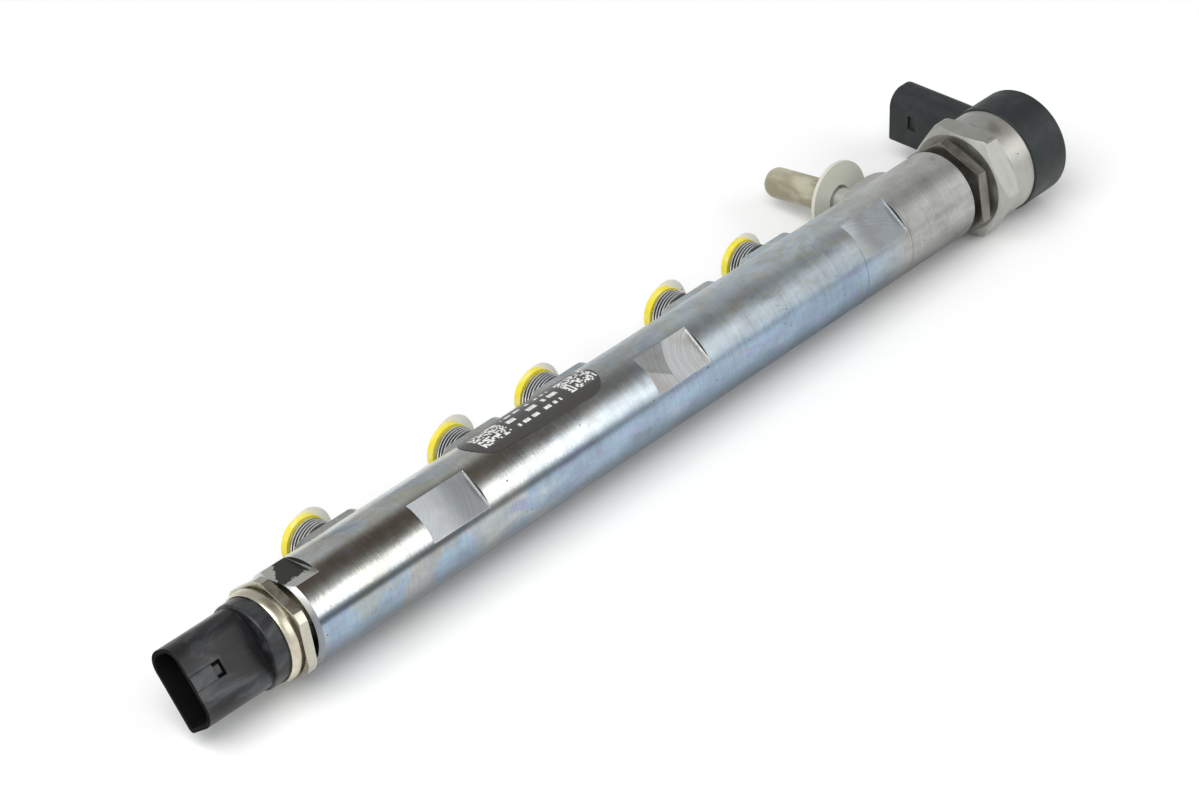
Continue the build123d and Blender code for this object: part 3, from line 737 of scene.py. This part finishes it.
# Metal with a fine grain along one direction, a slow change of tone and a few dark specks
def metalFinish(name, bright, dull, roughness, grain=(900.0, 900.0, 900.0), depth=0.1, specks=0.0):
    finish, tree, shader = startFinish(name, Metallic=1.0)
    spot = spotOf(tree)
    slow = noise(tree, spot, *metalGrain["slow"])
    lines = noise(tree, stretched(tree, spot, *grain), *metalGrain["lines"])
    share = metalGrain["linesShare"]
    tone = timesPlus(tree, lines, share, times(tree, slow, 1.0 - share))
    shade = blend(tree, step(tree, tone, *metalGrain["tones"]), dull, bright)
    if specks:
        holes = pits(tree, spotInMillimetres(tree, spot), *metalGrain["specks"], specks)
        shade = blend(tree, holes, shade, metalGrain["speck"])
    smoothest = roughness - metalGrain["smoother"]
    rough = step(tree, slow, 0.3, 0.7, smoothest, roughness + metalGrain["rougher"])
    relief = bump(tree, lines, depth, metalGrain["depth"])
    linkFinish(tree, shader, Base_Color=shade, Roughness=rough, Normal=relief)
    return finish


def plainMetal(name):
    return metalFinish(name, **metalLooks[name])


# Steel of the nipples and their threads: how light it is and its roughness; the thread's roots and flanks
# are painted darker as shade and its crests lighter as a painted highlight
threadLook = {
    "nippleSteel": (0.56, 0.34),
    "threadRootPaintedShade": (0.09, 0.34),
    "threadFlankPaintedShade": (0.26, 0.34),
    "threadCrestPaintedHighlight": (0.9, 0.2),
    "brighter": 1.1,
    "duller": 0.8,
    "grain": (200.0, 200.0, 200.0),
    "depth": 0.03,
}


def threadSteel(name):
    tone, roughness = threadLook[name]
    bright = colour(*[tone * threadLook["brighter"]] * 3)
    dull = colour(*[tone * threadLook["duller"]] * 3)
    return metalFinish(name, bright, dull, roughness, threadLook["grain"], threadLook["depth"])


mouldedLooks = {
    "sensorNylon": {
        "body": colour(0.006, 0.006, 0.007),
        # paler patches: partly rubbed spots, partly a painted sheen
        "rubbedAndSheen": colour(0.078, 0.083, 0.090),
        "roughness": 0.4,
        "specular": 0.42,
        "along": 0.45,  # its patches are stretched along x
    },
    # duller, near-black copy of the nylon: painted shade in the socket's mouth and latch groove, also laid
    # on its rim
    "mouthPaintedShade": {
        "body": colour(0.004, 0.004, 0.004),
        "rubbedAndSheen": colour(0.007, 0.007, 0.007),
        "roughness": 0.8,
        "specular": 0.1,
    },
    "valveNylon": {
        "body": colour(0.013, 0.017, 0.017),
        "rubbedAndSheen": colour(0.026, 0.032, 0.032),
        "roughness": 0.52,
        "grain": 3200.0,
        "depth": 0.18,
        "dust": 0.35,
        "specular": 0.36,
    },
    "sealRubber": {
        "body": colour(0.012, 0.012, 0.012),
        "rubbedAndSheen": colour(0.035, 0.035, 0.035),
        "roughness": 0.6,
    },
    "bobbinMoulding": {
        "body": colour(0.11, 0.065, 0.03),
        "rubbedAndSheen": colour(0.2, 0.13, 0.07),
        "roughness": 0.42,
    },
    "lacqueredBoard": {
        "body": colour(0.01, 0.09, 0.035),
        "rubbedAndSheen": colour(0.03, 0.16, 0.07),
        "roughness": 0.25,
    },
}

# What a moulded piece has where its own look says nothing
plainMoulding = {
    "grain": 2600.0,
    "depth": 0.12,
    "dust": 0.25,
    "specular": 0.5,
    "along": 1.0,
}


# What all moulded pieces share
mouldedGrain = {
    "fine": (2.0, 0.6),  # detail and roughness
    "patches": (130.0, 5.0, 0.62, 0.5),  # scale, detail, roughness and distortion
    "rubbedAndSheen": (0.42, 0.72, 0.0, 0.6),
    "dusty": (0.66, 0.8, 0.0),
    "rougher": 0.06,
    "smoother": 0.08,
    "depth": 0.06,  # mm
}


# Moulded plastic: a fine eroded grain, paler patches and a little dust; on the sensor's connector the paler
# patches are partly rubbed spots and partly a painted sheen
def mouldedFinish(name):
    look = {**plainMoulding, **mouldedLooks[name]}
    finish, tree, shader = startFinish(name, Specular_IOR_Level=look["specular"])
    spot = spotOf(tree)
    grain = noise(tree, spot, look["grain"], *mouldedGrain["fine"])
    patch = noise(tree, stretched(tree, spot, look["along"], 1.0), *mouldedGrain["patches"])
    shade = blend(tree, step(tree, patch, *mouldedGrain["rubbedAndSheen"]), look["body"], look["rubbedAndSheen"])
    dusty = step(tree, grain, *mouldedGrain["dusty"], look["dust"])
    shade = blend(tree, dusty, shade, look["rubbedAndSheen"])
    roughest = look["roughness"] + mouldedGrain["rougher"]
    rough = step(tree, patch, 0.3, 0.7, roughest, look["roughness"] - mouldedGrain["smoother"])
    relief = bump(tree, grain, look["depth"], mouldedGrain["depth"])
    linkFinish(tree, shader, Base_Color=shade, Roughness=rough, Normal=relief)
    return finish


plugLook = {
    "yellow": colour(0.78, 0.66, 0.035),
    "pale": colour(0.86, 0.82, 0.42),
    "brim": colour(0.84, 0.86, 0.88),
    "speck": colour(0.03, 0.025, 0.02),
    "specks": (0.55, 0.16, 0.06),  # how close, their size and the share that shows
    "brimFrom": (25.38, 25.52),  # mm out from the rail's axis
    "tone": (260.0, 4.0, 0.6),  # a noise's scale, detail and roughness
    "paler": (0.45, 0.7, 0.0, 0.5),
    "relief": (0.25, 0.2),  # strength and depth in mm
}


# Soft yellow plug whose thin brim is nearly colourless
def yellowPlug():
    look = plugLook
    finish, tree, shader = startFinish("yellowPlug", Roughness=0.38, Subsurface_Weight=0.15)
    shader.inputs["Subsurface Radius"].default_value = (0.004, 0.003, 0.001)
    shader.inputs["Subsurface Scale"].default_value = 0.3
    out = heightOver(tree, 1.0, 0.0)
    spot = spotOf(tree)
    tone = noise(tree, spot, *look["tone"])
    shade = blend(tree, step(tree, tone, *look["paler"]), look["yellow"], look["pale"])
    shade = blend(tree, step(tree, out, *look["brimFrom"]), shade, look["brim"])
    specks = pits(tree, spotInMillimetres(tree, spot), *look["specks"])
    shade = blend(tree, specks, shade, look["speck"])
    linkFinish(tree, shader, Base_Color=shade, Normal=bump(tree, tone, *look["relief"]))
    return finish


capLook = {
    "cream": colour(0.52, 0.50, 0.385),
    "flange": colour(0.60, 0.60, 0.52),
    "stain": colour(0.22, 0.195, 0.12),
    "tubeFrom": (25.6, 27.1),  # mm out from the rail's axis
    "streakStep": (170.0, 60.0, 170.0),  # how close they follow each other along x, y and z
    "streaks": (1.0, 4.0, 0.55, 0.2),  # a noise's scale, detail, roughness and distortion
    "blots": (330.0, 5.0, 0.65),
    "streaked": (0.36, 0.62, 0.25, 0.9),
    "blotted": (0.62, 0.74, 0.0, 0.5),
    "relief": (0.15, 0.2),  # strength and depth in mm
}


# Cap of the return pipe: cream, with brown stains running along its tube
def creamCap():
    look = capLook
    finish, tree, shader = startFinish("creamCap", Roughness=0.42, Specular_IOR_Level=0.45)
    out = heightOver(tree, 1.0, 0.0)
    spot = spotOf(tree)
    streaks = noise(tree, stretched(tree, spot, *look["streakStep"]), *look["streaks"])
    blots = noise(tree, spot, *look["blots"])
    tube = step(tree, out, *look["tubeFrom"])
    streaked = times(tree, step(tree, streaks, *look["streaked"]), tube)
    shade = blend(tree, tube, look["flange"], look["cream"])
    shade = blend(tree, streaked, shade, look["stain"])
    shade = blend(tree, step(tree, blots, *look["blotted"]), shade, look["stain"])
    linkFinish(tree, shader, Base_Color=shade, Normal=bump(tree, blots, *look["relief"]))
    return finish


labelLook = {
    "film": colour(0.050, 0.048, 0.046),
    "ink": colour(0.80, 0.80, 0.78),
    "codes": ((73.5, 84.0, -20.0, 12.0), (106.8, 117.3, -20.0, 12.0)),  # mm from, to, degrees from, to
    "cell": 0.58,  # mm
    "emptyCells": 0.42,  # share of them
    "bars": (  # mm along from, to, the middle in degrees, and half its height
        (86.0, 104.0, -17.0, 2.2),
        (85.5, 104.5, -4.5, 3.4),
        (86.5, 103.0, 9.5, 2.6),
    ),
    "barStep": 1.15,  # mm
    "emptySteps": 0.4,
    "mixing": (3.7, 0.31),  # gives each row of bars its own order
    "wear": (1.3, 4.0, 0.7),  # a noise's scale, detail and roughness
    "worn": (0.36, 0.6, 0.5, 1.0),
    "ripples": (0.5, 3.0, 0.5),
    "relief": (0.12, 0.2),  # strength and depth in mm
}


# 1 between two values, 0 outside
def between(tree, value, least, most):
    over = calculate(tree, "GREATER_THAN", value, least)
    return times(tree, over, calculate(tree, "LESS_THAN", value, most))


# 1 inside a stretch along the rail and round it, 0 outside
def patchAt(tree, along, turn, start, end, low, high):
    return times(tree, between(tree, along, start, end), between(tree, turn, low, high))


# Dark printed film: two pale fields of random cells and rows of short plain bars
def labelFilm():
    look = labelLook
    finish, tree, shader = startFinish("labelFilm", Roughness=0.38, Specular_IOR_Level=0.4)
    along, turn, unrolled = railPlaces(tree)
    cells = calculateVector(tree, "SNAP", unrolled, (look["cell"],) * 3)
    scatter = addNode(tree, "ShaderNodeTexWhiteNoise", {"Vector": cells}, noise_dimensions="3D")
    filled = calculate(tree, "GREATER_THAN", scatter.outputs["Value"], look["emptyCells"])
    printed = []
    for start, end, low, high in look["codes"]:
        printed.append(times(tree, patchAt(tree, along, turn, start, end, low, high), filled))
    steps = calculate(tree, "SNAP", along, look["barStep"])
    dashes = addNode(tree, "ShaderNodeTexWhiteNoise", {"W": steps}, noise_dimensions="1D")
    spread, shift = look["mixing"]
    for number, (start, end, middle, half) in enumerate(look["bars"]):
        mixed = timesPlus(tree, dashes.outputs["Value"], spread, number * shift)
        dash = calculate(tree, "GREATER_THAN", calculate(tree, "FRACT", mixed), look["emptySteps"])
        row = patchAt(tree, along, turn, start, end, middle - half, middle + half)
        printed.append(times(tree, row, dash))
    ink = printed[0]
    for patch in printed[1:]:
        ink = calculate(tree, "ADD", ink, patch)
    worn = step(tree, noise(tree, unrolled, *look["wear"]), *look["worn"])
    amount = calculate(tree, "MULTIPLY", ink, worn, clamp=True)
    shade = blend(tree, amount, look["film"], look["ink"])
    ripples = noise(tree, unrolled, *look["ripples"])
    linkFinish(tree, shader, Base_Color=shade, Normal=bump(tree, ripples, *look["relief"]))
    return finish


def onlySelect(piece):
    bpy.ops.object.select_all(action="DESELECT")
    piece.select_set(True)
    bpy.context.view_layer.objects.active = piece


def applyModifier(piece, kind, **settings):
    modifier = piece.modifiers.new(kind.lower(), kind)
    for name, value in settings.items():
        setattr(modifier, name, value)
    onlySelect(piece)
    bpy.ops.object.modifier_apply(modifier=modifier.name)


# Fine bevels of a width in mm on every edge that turns by more than the angle
def bevelEdges(piece, width, angle):
    applyModifier(
        piece,
        "BEVEL",
        width=width * millimetre,
        segments=2,
        limit_method="ANGLE",
        angle_limit=math.radians(angle),
        use_clamp_overlap=False,
    )


def smoothBy(piece, angle):
    onlySelect(piece)
    bpy.ops.object.shade_smooth_by_angle(angle=math.radians(angle))


normalFit = {
    "lean": 0.01,  # long thin triangles lean a little after joining
    "corners": 0.012,  # mm between a face's corners, measured square to it
    "middle": 0.12,  # mm from its middle to the turned surface
    "onAxis": 0.05,  # mm
    "blend": 24.0,  # degrees between faces that are blended
}


# Parts of a face's normal along and away from a line, if the face lies on a surface turned round it
def turnedParts(mesh, face, line):
    origin, axis = line
    outward = face.center - origin
    outward -= axis * outward.dot(axis)
    along = face.normal.dot(axis)
    if abs(along) < normalFit["lean"]:
        along = 0.0
    apart = math.copysign(math.sqrt(max(0.0, 1.0 - along * along)), face.normal.dot(outward))
    middle = (face.center - origin).dot(axis) * along + outward.length * apart
    reaches = []
    for index in face.vertices:
        spot = mesh.vertices[index].co - origin
        height = spot.dot(axis)
        reaches.append(height * along + (spot - axis * height).length * apart)
    if max(reaches) - min(reaches) > normalFit["corners"] * millimetre:
        return None
    if abs(middle - reaches[0]) > normalFit["middle"] * millimetre:
        return None
    return along, apart


# A face's normals at its corners, true to the turned surface that it lies on
def cornerNormals(mesh, face, lines):
    found = None
    for line in lines:
        parts = turnedParts(mesh, face, line)
        if parts:
            found = (line, parts)
            break
    for index in face.vertices:
        normal = face.normal
        if found:
            (origin, axis), (along, apart) = found
            spot = mesh.vertices[index].co - origin
            spot -= axis * spot.dot(axis)
            if spot.length > normalFit["onAxis"] * millimetre:
                normal = axis * along + spot.normalized() * apart
        yield index, normal.copy()


# Normals that run true round turned surfaces, stay flat on large faces and blend on small ones
def trueNormals(piece, lines):
    mesh = piece.data
    smallest = math.cos(math.radians(normalFit["blend"]))
    atVertex = [[] for vertex in mesh.vertices]
    for face in mesh.polygons:
        for index, normal in cornerNormals(mesh, face, lines):
            atVertex[index].append((face.index, normal, face.area))
    normals = []
    for face in mesh.polygons:
        for index in face.vertices:
            own = next(normal for number, normal, area in atVertex[index] if number == face.index)
            total = Vector()
            for number, normal, area in atVertex[index]:
                if own.dot(normal) > smallest:
                    total += normal * area
            normals.append(total.normalized() if total.length > 0 else own)
    mesh.normals_split_custom_set(normals)


joining = {
    "reach": 0.002,  # mm between points that become one
    "flatness": 0.4,  # degrees between triangles that become one face
}


# A copy of a CAD node with its triangles joined, so that it can be shaded smooth and get fine edges
def joinedCopy(nodeName):
    piece = bpy.data.objects.new(nodeName + "_dressed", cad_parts[nodeName].data.copy())
    bpy.context.scene.collection.objects.link(piece)
    piece.data.materials.clear()
    onlySelect(piece)
    bpy.ops.object.mode_set(mode="EDIT")
    bpy.ops.mesh.select_all(action="SELECT")
    bpy.ops.mesh.remove_doubles(threshold=joining["reach"] * millimetre)
    bpy.ops.mesh.dissolve_limited(angle_limit=math.radians(joining["flatness"]))
    bpy.ops.object.mode_set(mode="OBJECT")
    return piece


dressing = {
    "bevelFrom": 28.0,  # degrees that an edge turns by, as in the next one
    "smoothTo": 40.0,
}


def placeOnRail(piece, nodeName):
    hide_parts(nodeName)
    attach(piece, "rail")


# A joined copy with its finish, its fine edges in mm, and one other finish inside where there is one
def dressNode(nodeName, finish, edge, lines=(railLine,), inside=None, reshape=None):
    piece = joinedCopy(nodeName)
    if reshape:
        for vertex in piece.data.vertices:
            along, out, up = railCoordinates(vertex.co)
            vertex.co = railPoint(reshape(along, out, up), out, up)
        piece.data.update()
    piece.data.materials.append(finish)
    if inside:
        insideFinish, isInside = inside
        piece.data.materials.append(insideFinish)
        for face in piece.data.polygons:
            face.material_index = int(isInside(*railCoordinates(face.center)))
    if edge:
        bevelEdges(piece, edge, dressing["bevelFrom"])
    smoothBy(piece, dressing["smoothTo"])
    trueNormals(piece, lines)
    placeOnRail(piece, nodeName)
    return piece


# How a face or point is told by its place, in mm, and by the lean of its normal
faceFit = {
    "margin": 0.1,
    "onPlane": 0.02,
    "atEnd": 0.03,
    "bareEnd": 0.7,  # the nipple past its thread
    "round": 0.5,  # most lean of a turned face
    "wall": 0.9,  # least lean of a wall across the rail
    "chamfer": (0.3, 0.95),
}


# Lets the nipples' plain crests down to the thread's root
def lowerCrests(piece):
    shape = railShape
    margin = faceFit["margin"]
    for vertex in piece.data.vertices:
        along, out, up = railCoordinates(vertex.co)
        if not shape["threadFrom"] - margin < out < shape["threadTo"] + margin:
            continue
        for place in shape["nipplePlaces"]:
            spread = math.hypot(along - place, up)
            if shape["root"] + margin < spread < shape["crest"] + margin:
                share = shape["root"] / spread
                vertex.co = railPoint(place + (along - place) * share, out, up * share)
    piece.data.update()


# Name of the finish that a face of the forging has
def railFinishAt(face):
    shape = railShape
    along, out, up = railCoordinates(face.center)
    inThread = shape["threadFrom"] < out < shape["threadTo"] - faceFit["bareEnd"]
    # thread roots get a finish painted dark as shade
    if inThread and abs(face.normal.dot(nippleLine(0)[1])) < faceFit["round"]:
        return "threadRootPaintedShade"
    if out > shape["nippleFrom"]:
        return "nippleSteel"
    leanest, steepest = faceFit["chamfer"]
    leans = leanest < abs(face.normal.x) < steepest
    if along < shape["chamferLength"] and leans and math.hypot(out, up) > shape["chamferFrom"]:
        return "chamferedEnd"
    if along < shape["endFlatLength"] and abs(up - shape["endFlatDistance"]) < faceFit["onPlane"]:
        return "milledEnd"
    turn = math.radians(shape["flatTurn"])
    height = up * math.cos(turn) - out * math.sin(turn) - shape["flatDistance"]
    margin = faceFit["margin"]
    for name, (start, end) in shape["flats"].items():
        atEnd = min(abs(along - start), abs(along - end)) < faceFit["atEnd"]
        if atEnd and abs(face.normal.x) > faceFit["wall"] and height > -margin:
            return "milledWallPaintedLight"
        if start - margin < along < end + margin and abs(height) < faceFit["onPlane"]:
            return name
    return "zincSteel"


# The forging with its plating, and another finish on each milled or threaded face
def buildRail():
    piece = joinedCopy("rail_body")
    lowerCrests(piece)
    finishes = [zincSteel()]
    finishes += [milledSteel(look) for look in (nearFlatLook, middleFlatLook, farFlatLook)]
    finishes += [endFlatSteel(), threadSteel("nippleSteel"), wallSteel()]
    finishes += [threadSteel("threadRootPaintedShade"), endRing()]
    for finish in finishes:
        piece.data.materials.append(finish)
    places = {finish.name: place for place, finish in enumerate(finishes)}
    for face in piece.data.polygons:
        face.material_index = places[railFinishAt(face)]
    bevelEdges(piece, railShape["edge"], railShape["bevelFrom"])
    smoothBy(piece, dressing["smoothTo"])
    branches = railShape["nipplePlaces"] + (railShape["returnPlace"],)
    trueNormals(piece, [railLine] + [nippleLine(place) for place in branches])
    placeOnRail(piece, "rail_body")


# One thread ridge, modelled upright and then set on each nipple
threadShape = {
    "rise": (0.05, 0.33, 0.65, 0.93),  # shares of the pitch at its foot, crest, crest and foot
    "sunk": 0.05,  # mm that it goes into the nipple
    "steps": 56,
    "turnedBy": 73.0,  # degrees from one nipple to the next
    "smoothTo": 35.0,
    "mergeReach": 0.001,  # mm
}


def buildRidge():
    shape = railShape
    foot = shape["root"] - threadShape["sunk"]
    radii = (foot, shape["crest"], shape["crest"], foot)
    bpy.ops.object.select_all(action="DESELECT")
    bpy.ops.mesh.primitive_plane_add(size=(shape["crest"] - foot) * millimetre)
    ridge = bpy.context.object
    corners = [ridge.data.polygons[0].vertices[index] for index in range(4)]
    for index, radius, height in zip(corners, radii, threadShape["rise"]):
        ridge.data.vertices[index].co = (radius * millimetre, 0.0, height * shape["pitch"] * millimetre)
    applyModifier(
        ridge,
        "SCREW",
        angle=math.tau,
        screw_offset=shape["pitch"] * millimetre,
        iterations=shape["turns"],
        steps=threadShape["steps"],
        render_steps=threadShape["steps"],
        use_merge_vertices=False,
    )
    onlySelect(ridge)
    bpy.ops.object.mode_set(mode="EDIT")
    bpy.ops.mesh.select_all(action="SELECT")
    bpy.ops.mesh.remove_doubles(threshold=threadShape["mergeReach"] * millimetre)
    bpy.ops.mesh.normals_make_consistent(inside=False)
    bpy.ops.object.mode_set(mode="OBJECT")
    return ridge


def buildThreads():
    shape = railShape
    ridge = buildRidge()
    # thread flanks painted darker as shade, crests lighter as a painted highlight
    flankSteel = threadSteel("threadFlankPaintedShade")
    crestSteel = threadSteel("threadCrestPaintedHighlight")
    for number, place in enumerate(shape["nipplePlaces"], start=1):
        piece = bpy.data.objects.new(f"nipple_thread_{number}", ridge.data.copy())
        bpy.context.scene.collection.objects.link(piece)
        piece.data.materials.append(flankSteel)
        piece.data.materials.append(crestSteel)
        for face in piece.data.polygons:
            spread = [piece.data.vertices[index].co.xy.length for index in face.vertices]
            face.material_index = int(min(spread) > (shape["crest"] - faceFit["onPlane"]) * millimetre)
        start = railPoint(place, shape["threadFrom"] + threadShape["sunk"], 0.0)
        stand = Matrix.Translation(start) @ Matrix.Rotation(-math.pi / 2 - dip, 4, "X")
        stand = stand @ Matrix.Rotation(math.radians(threadShape["turnedBy"] * number), 4, "Z")
        piece.data.transform(stand)
        smoothBy(piece, threadShape["smoothTo"])
        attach(piece, "rail")
    bpy.data.objects.remove(ridge)


nutShape = {
    "middle": 272.35,  # mm along the rail
    "frontMove": 1.05,  # how far the front stands before the solid's, and the back behind it
    "backMove": 0.45,
}


# The lock nut measures 3.8 mm thick in the photograph
def thickerNut(along, out, up):
    if along < nutShape["middle"]:
        return along - nutShape["frontMove"]
    return along + nutShape["backMove"]


hexagonShape = {
    "faces": (-5.25, -2.1),  # mm along the rail
    "chamfer": 0.52,
    "left": 0.3,  # share of the chamfer that stays
    "radius": 13.3,
}


# The sensor's hexagon has only small chamfers on its corners
def sharperHexagon(along, out, up):
    low, high = hexagonShape["faces"]
    reach = hexagonShape["chamfer"]
    if math.hypot(out, up) > hexagonShape["radius"]:
        if low <= along < low + reach:
            return low + (along - low) * hexagonShape["left"]
        if high - reach < along <= high:
            return high - (high - along) * hexagonShape["left"]
    return along


socketShape = {
    "turn": 58.7,  # degrees round the rail's axis
    "width": 20.3,
    "thickness": 10.6,
    "upperRadius": 3.6,
    "lowerRadius": 0.75,
    "inside": (-34.6, -18.9),  # mm along the rail
    "rim": -34.68,
    "latch": (-27.65, -24.75),
    "latchWidth": 4.3,
    "latchHeights": (5.35, 6.45),  # mm from the socket's middle
    "margin": 0.08,
}


# Whether a point lies in the mouth of the sensor's socket, in its latch groove or on its rim
def inSensorMouth(along, out, up):
    shape = socketShape
    turn = math.radians(shape["turn"])
    across = out * math.cos(turn) + up * math.sin(turn)
    through = up * math.cos(turn) - out * math.sin(turn)
    radius = shape["upperRadius"] if through > 0 else shape["lowerRadius"]
    beyondAcross = max(0.0, abs(across) - shape["width"] / 2 + radius)
    beyondThrough = max(0.0, abs(through) - shape["thickness"] / 2 + radius)
    inOutline = math.hypot(beyondAcross, beyondThrough) < radius + shape["margin"]
    start, end = shape["inside"]
    latchStart, latchEnd = shape["latch"]
    low, high = shape["latchHeights"]
    inGroove = latchStart < along < latchEnd and low < through < high
    return (
        (inOutline and start < along < end)
        or (inGroove and abs(across) < shape["latchWidth"] / 2)
        or along < shape["rim"]
    )


# Outer pieces are joined copies with fine edges
def dressPieces():
    dressNode("sensor_body", plainMetal("sensorSteel"), edge=0.1, reshape=sharperHexagon)
    dressNode("sensor_sleeve", plainMetal("champagneSleeve"), edge=0.25)
    nylon = mouldedFinish("sensorNylon")
    # painted shade in the mouth and latch groove and on the rim
    mouth = mouldedFinish("mouthPaintedShade")
    dressNode("sensor_connector", nylon, edge=0.18, inside=(mouth, inSensorMouth))
    dressNode("valve_cap", mouldedFinish("valveNylon"), edge=0.2)
    dressNode("valve_body", plainMetal("valveSteel"), edge=0.15)
    dressNode("valve_lock_nut", plainMetal("phosphatedNut"), edge=0.15, reshape=thickerNut)
    returnLine = nippleLine(railShape["returnPlace"])
    dressNode("return_pipe", plainMetal("brightPipe"), edge=0.0, lines=[returnLine])
    dressNode("return_pipe_cap", creamCap(), edge=0.15, lines=[returnLine])
    dressNode("data_label", labelFilm(), edge=0.0)
    plug = yellowPlug()
    for number, place in enumerate(railShape["nipplePlaces"], start=1):
        dressNode(f"port_plug_{number}", plug, edge=0.15, lines=[nippleLine(place)])


# The valve's spring, which shortens towards the cap as the armature comes, is dressed and gets a mesh of
# its own
def dressSpring(finish):
    piece = dressNode("valve_spring", finish, edge=0.0)
    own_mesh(piece)


# Pieces inside, apart from the spring, keep their CAD solids and get their own finish
def dressInside():
    toolSteel = plainMetal("groundSteel")
    finishes = {
        toolSteel: ("valve_seat", "valve_ball", "valve_pin", "sensor_diaphragm"),
        plainMetal("softIron"): ("valve_armature",),
        plainMetal("copperWinding"): ("valve_coil",),
        plainMetal("copperRing"): ("valve_sealing_ring",),
        plainMetal("tinnedBlade"): ("sensor_terminals", "valve_terminals"),
        mouldedFinish("sealRubber"): ("sensor_seal", "valve_seal_ring"),
        mouldedFinish("bobbinMoulding"): ("valve_bobbin", "valve_filter"),
        mouldedFinish("lacqueredBoard"): ("sensor_circuit_board",),
    }
    for finish, nodeNames in finishes.items():
        for nodeName in nodeNames:
            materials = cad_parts[nodeName].data.materials
            materials.clear()
            materials.append(finish)
    dressSpring(toolSteel)


studio = {
    "floor": colour(0.90, 0.90, 0.895),
    "floorSize": 8.0,
    "floorDrop": 0.0002,  # keeps it clear of the part's lowest faces
    "sky": colour(0.62, 0.63, 0.635),
    "darkSky": colour(0.15, 0.13, 0.118),
    "darkTowards": (0.60, 0.04, 0.80),  # the unlit part of the ceiling
    "darkEdge": (0.85, 0.985),
}

softboxes = {
    "keySoftbox": {
        "towards": (0.60, -0.63, 0.525),
        "distance": 1.5,
        "width": 1.3,
        "height": 0.73,
        "power": 5.6,
    },
    "fillSoftbox": {
        "towards": (-0.55, -0.15, 0.9),
        "distance": 1.6,
        "width": 1.4,
        "height": 1.2,
        "power": 20.0,
    },
}


def addSoftbox(name, towards, distance, width, height, power):
    direction = Vector(towards).normalized()
    facing = direction.to_track_quat("Z", "Y").to_euler()
    bpy.ops.object.light_add(type="AREA", location=direction * distance, rotation=facing)
    light = bpy.context.object
    light.name = name
    light.data.shape = "RECTANGLE"
    light.data.size = width
    light.data.size_y = height
    light.data.energy = power


# White floor, one long softbox at the camera's side, a fill from above and a grey room with a dark ceiling
def setStudio():
    bpy.ops.object.select_all(action="DESELECT")
    bpy.ops.mesh.primitive_plane_add(size=studio["floorSize"], location=(0.0, 0.0, -studio["floorDrop"]))
    floor = bpy.context.object
    floor.name = "studioFloor"
    finish, tree, shader = startFinish("studioPaper", Roughness=0.7, Specular_IOR_Level=0.2)
    shader.inputs["Base Color"].default_value = studio["floor"]
    floor.data.materials.append(finish)
    for name, softbox in softboxes.items():
        addSoftbox(name, **softbox)
    world = bpy.data.worlds.new("studioRoom")
    bpy.context.scene.world = world
    world.use_nodes = True
    tree = world.node_tree
    towards = Vector(studio["darkTowards"]).normalized()
    ray = addNode(tree, "ShaderNodeTexCoord").outputs["Generated"]
    facing = calculateVector(tree, "DOT_PRODUCT", ray, tuple(towards))
    shade = blend(tree, step(tree, facing, *studio["darkEdge"]), studio["sky"], studio["darkSky"])
    tree.links.new(shade, tree.nodes["Background"].inputs["Color"])
    bpy.context.scene.view_settings.view_transform = "Standard"


setCamera()
print("camera set")
buildRail()
print("rail built")
buildThreads()
print("threads cut")
dressPieces()
dressInside()
print("pieces dressed")
setStudio()
print("studio lit")
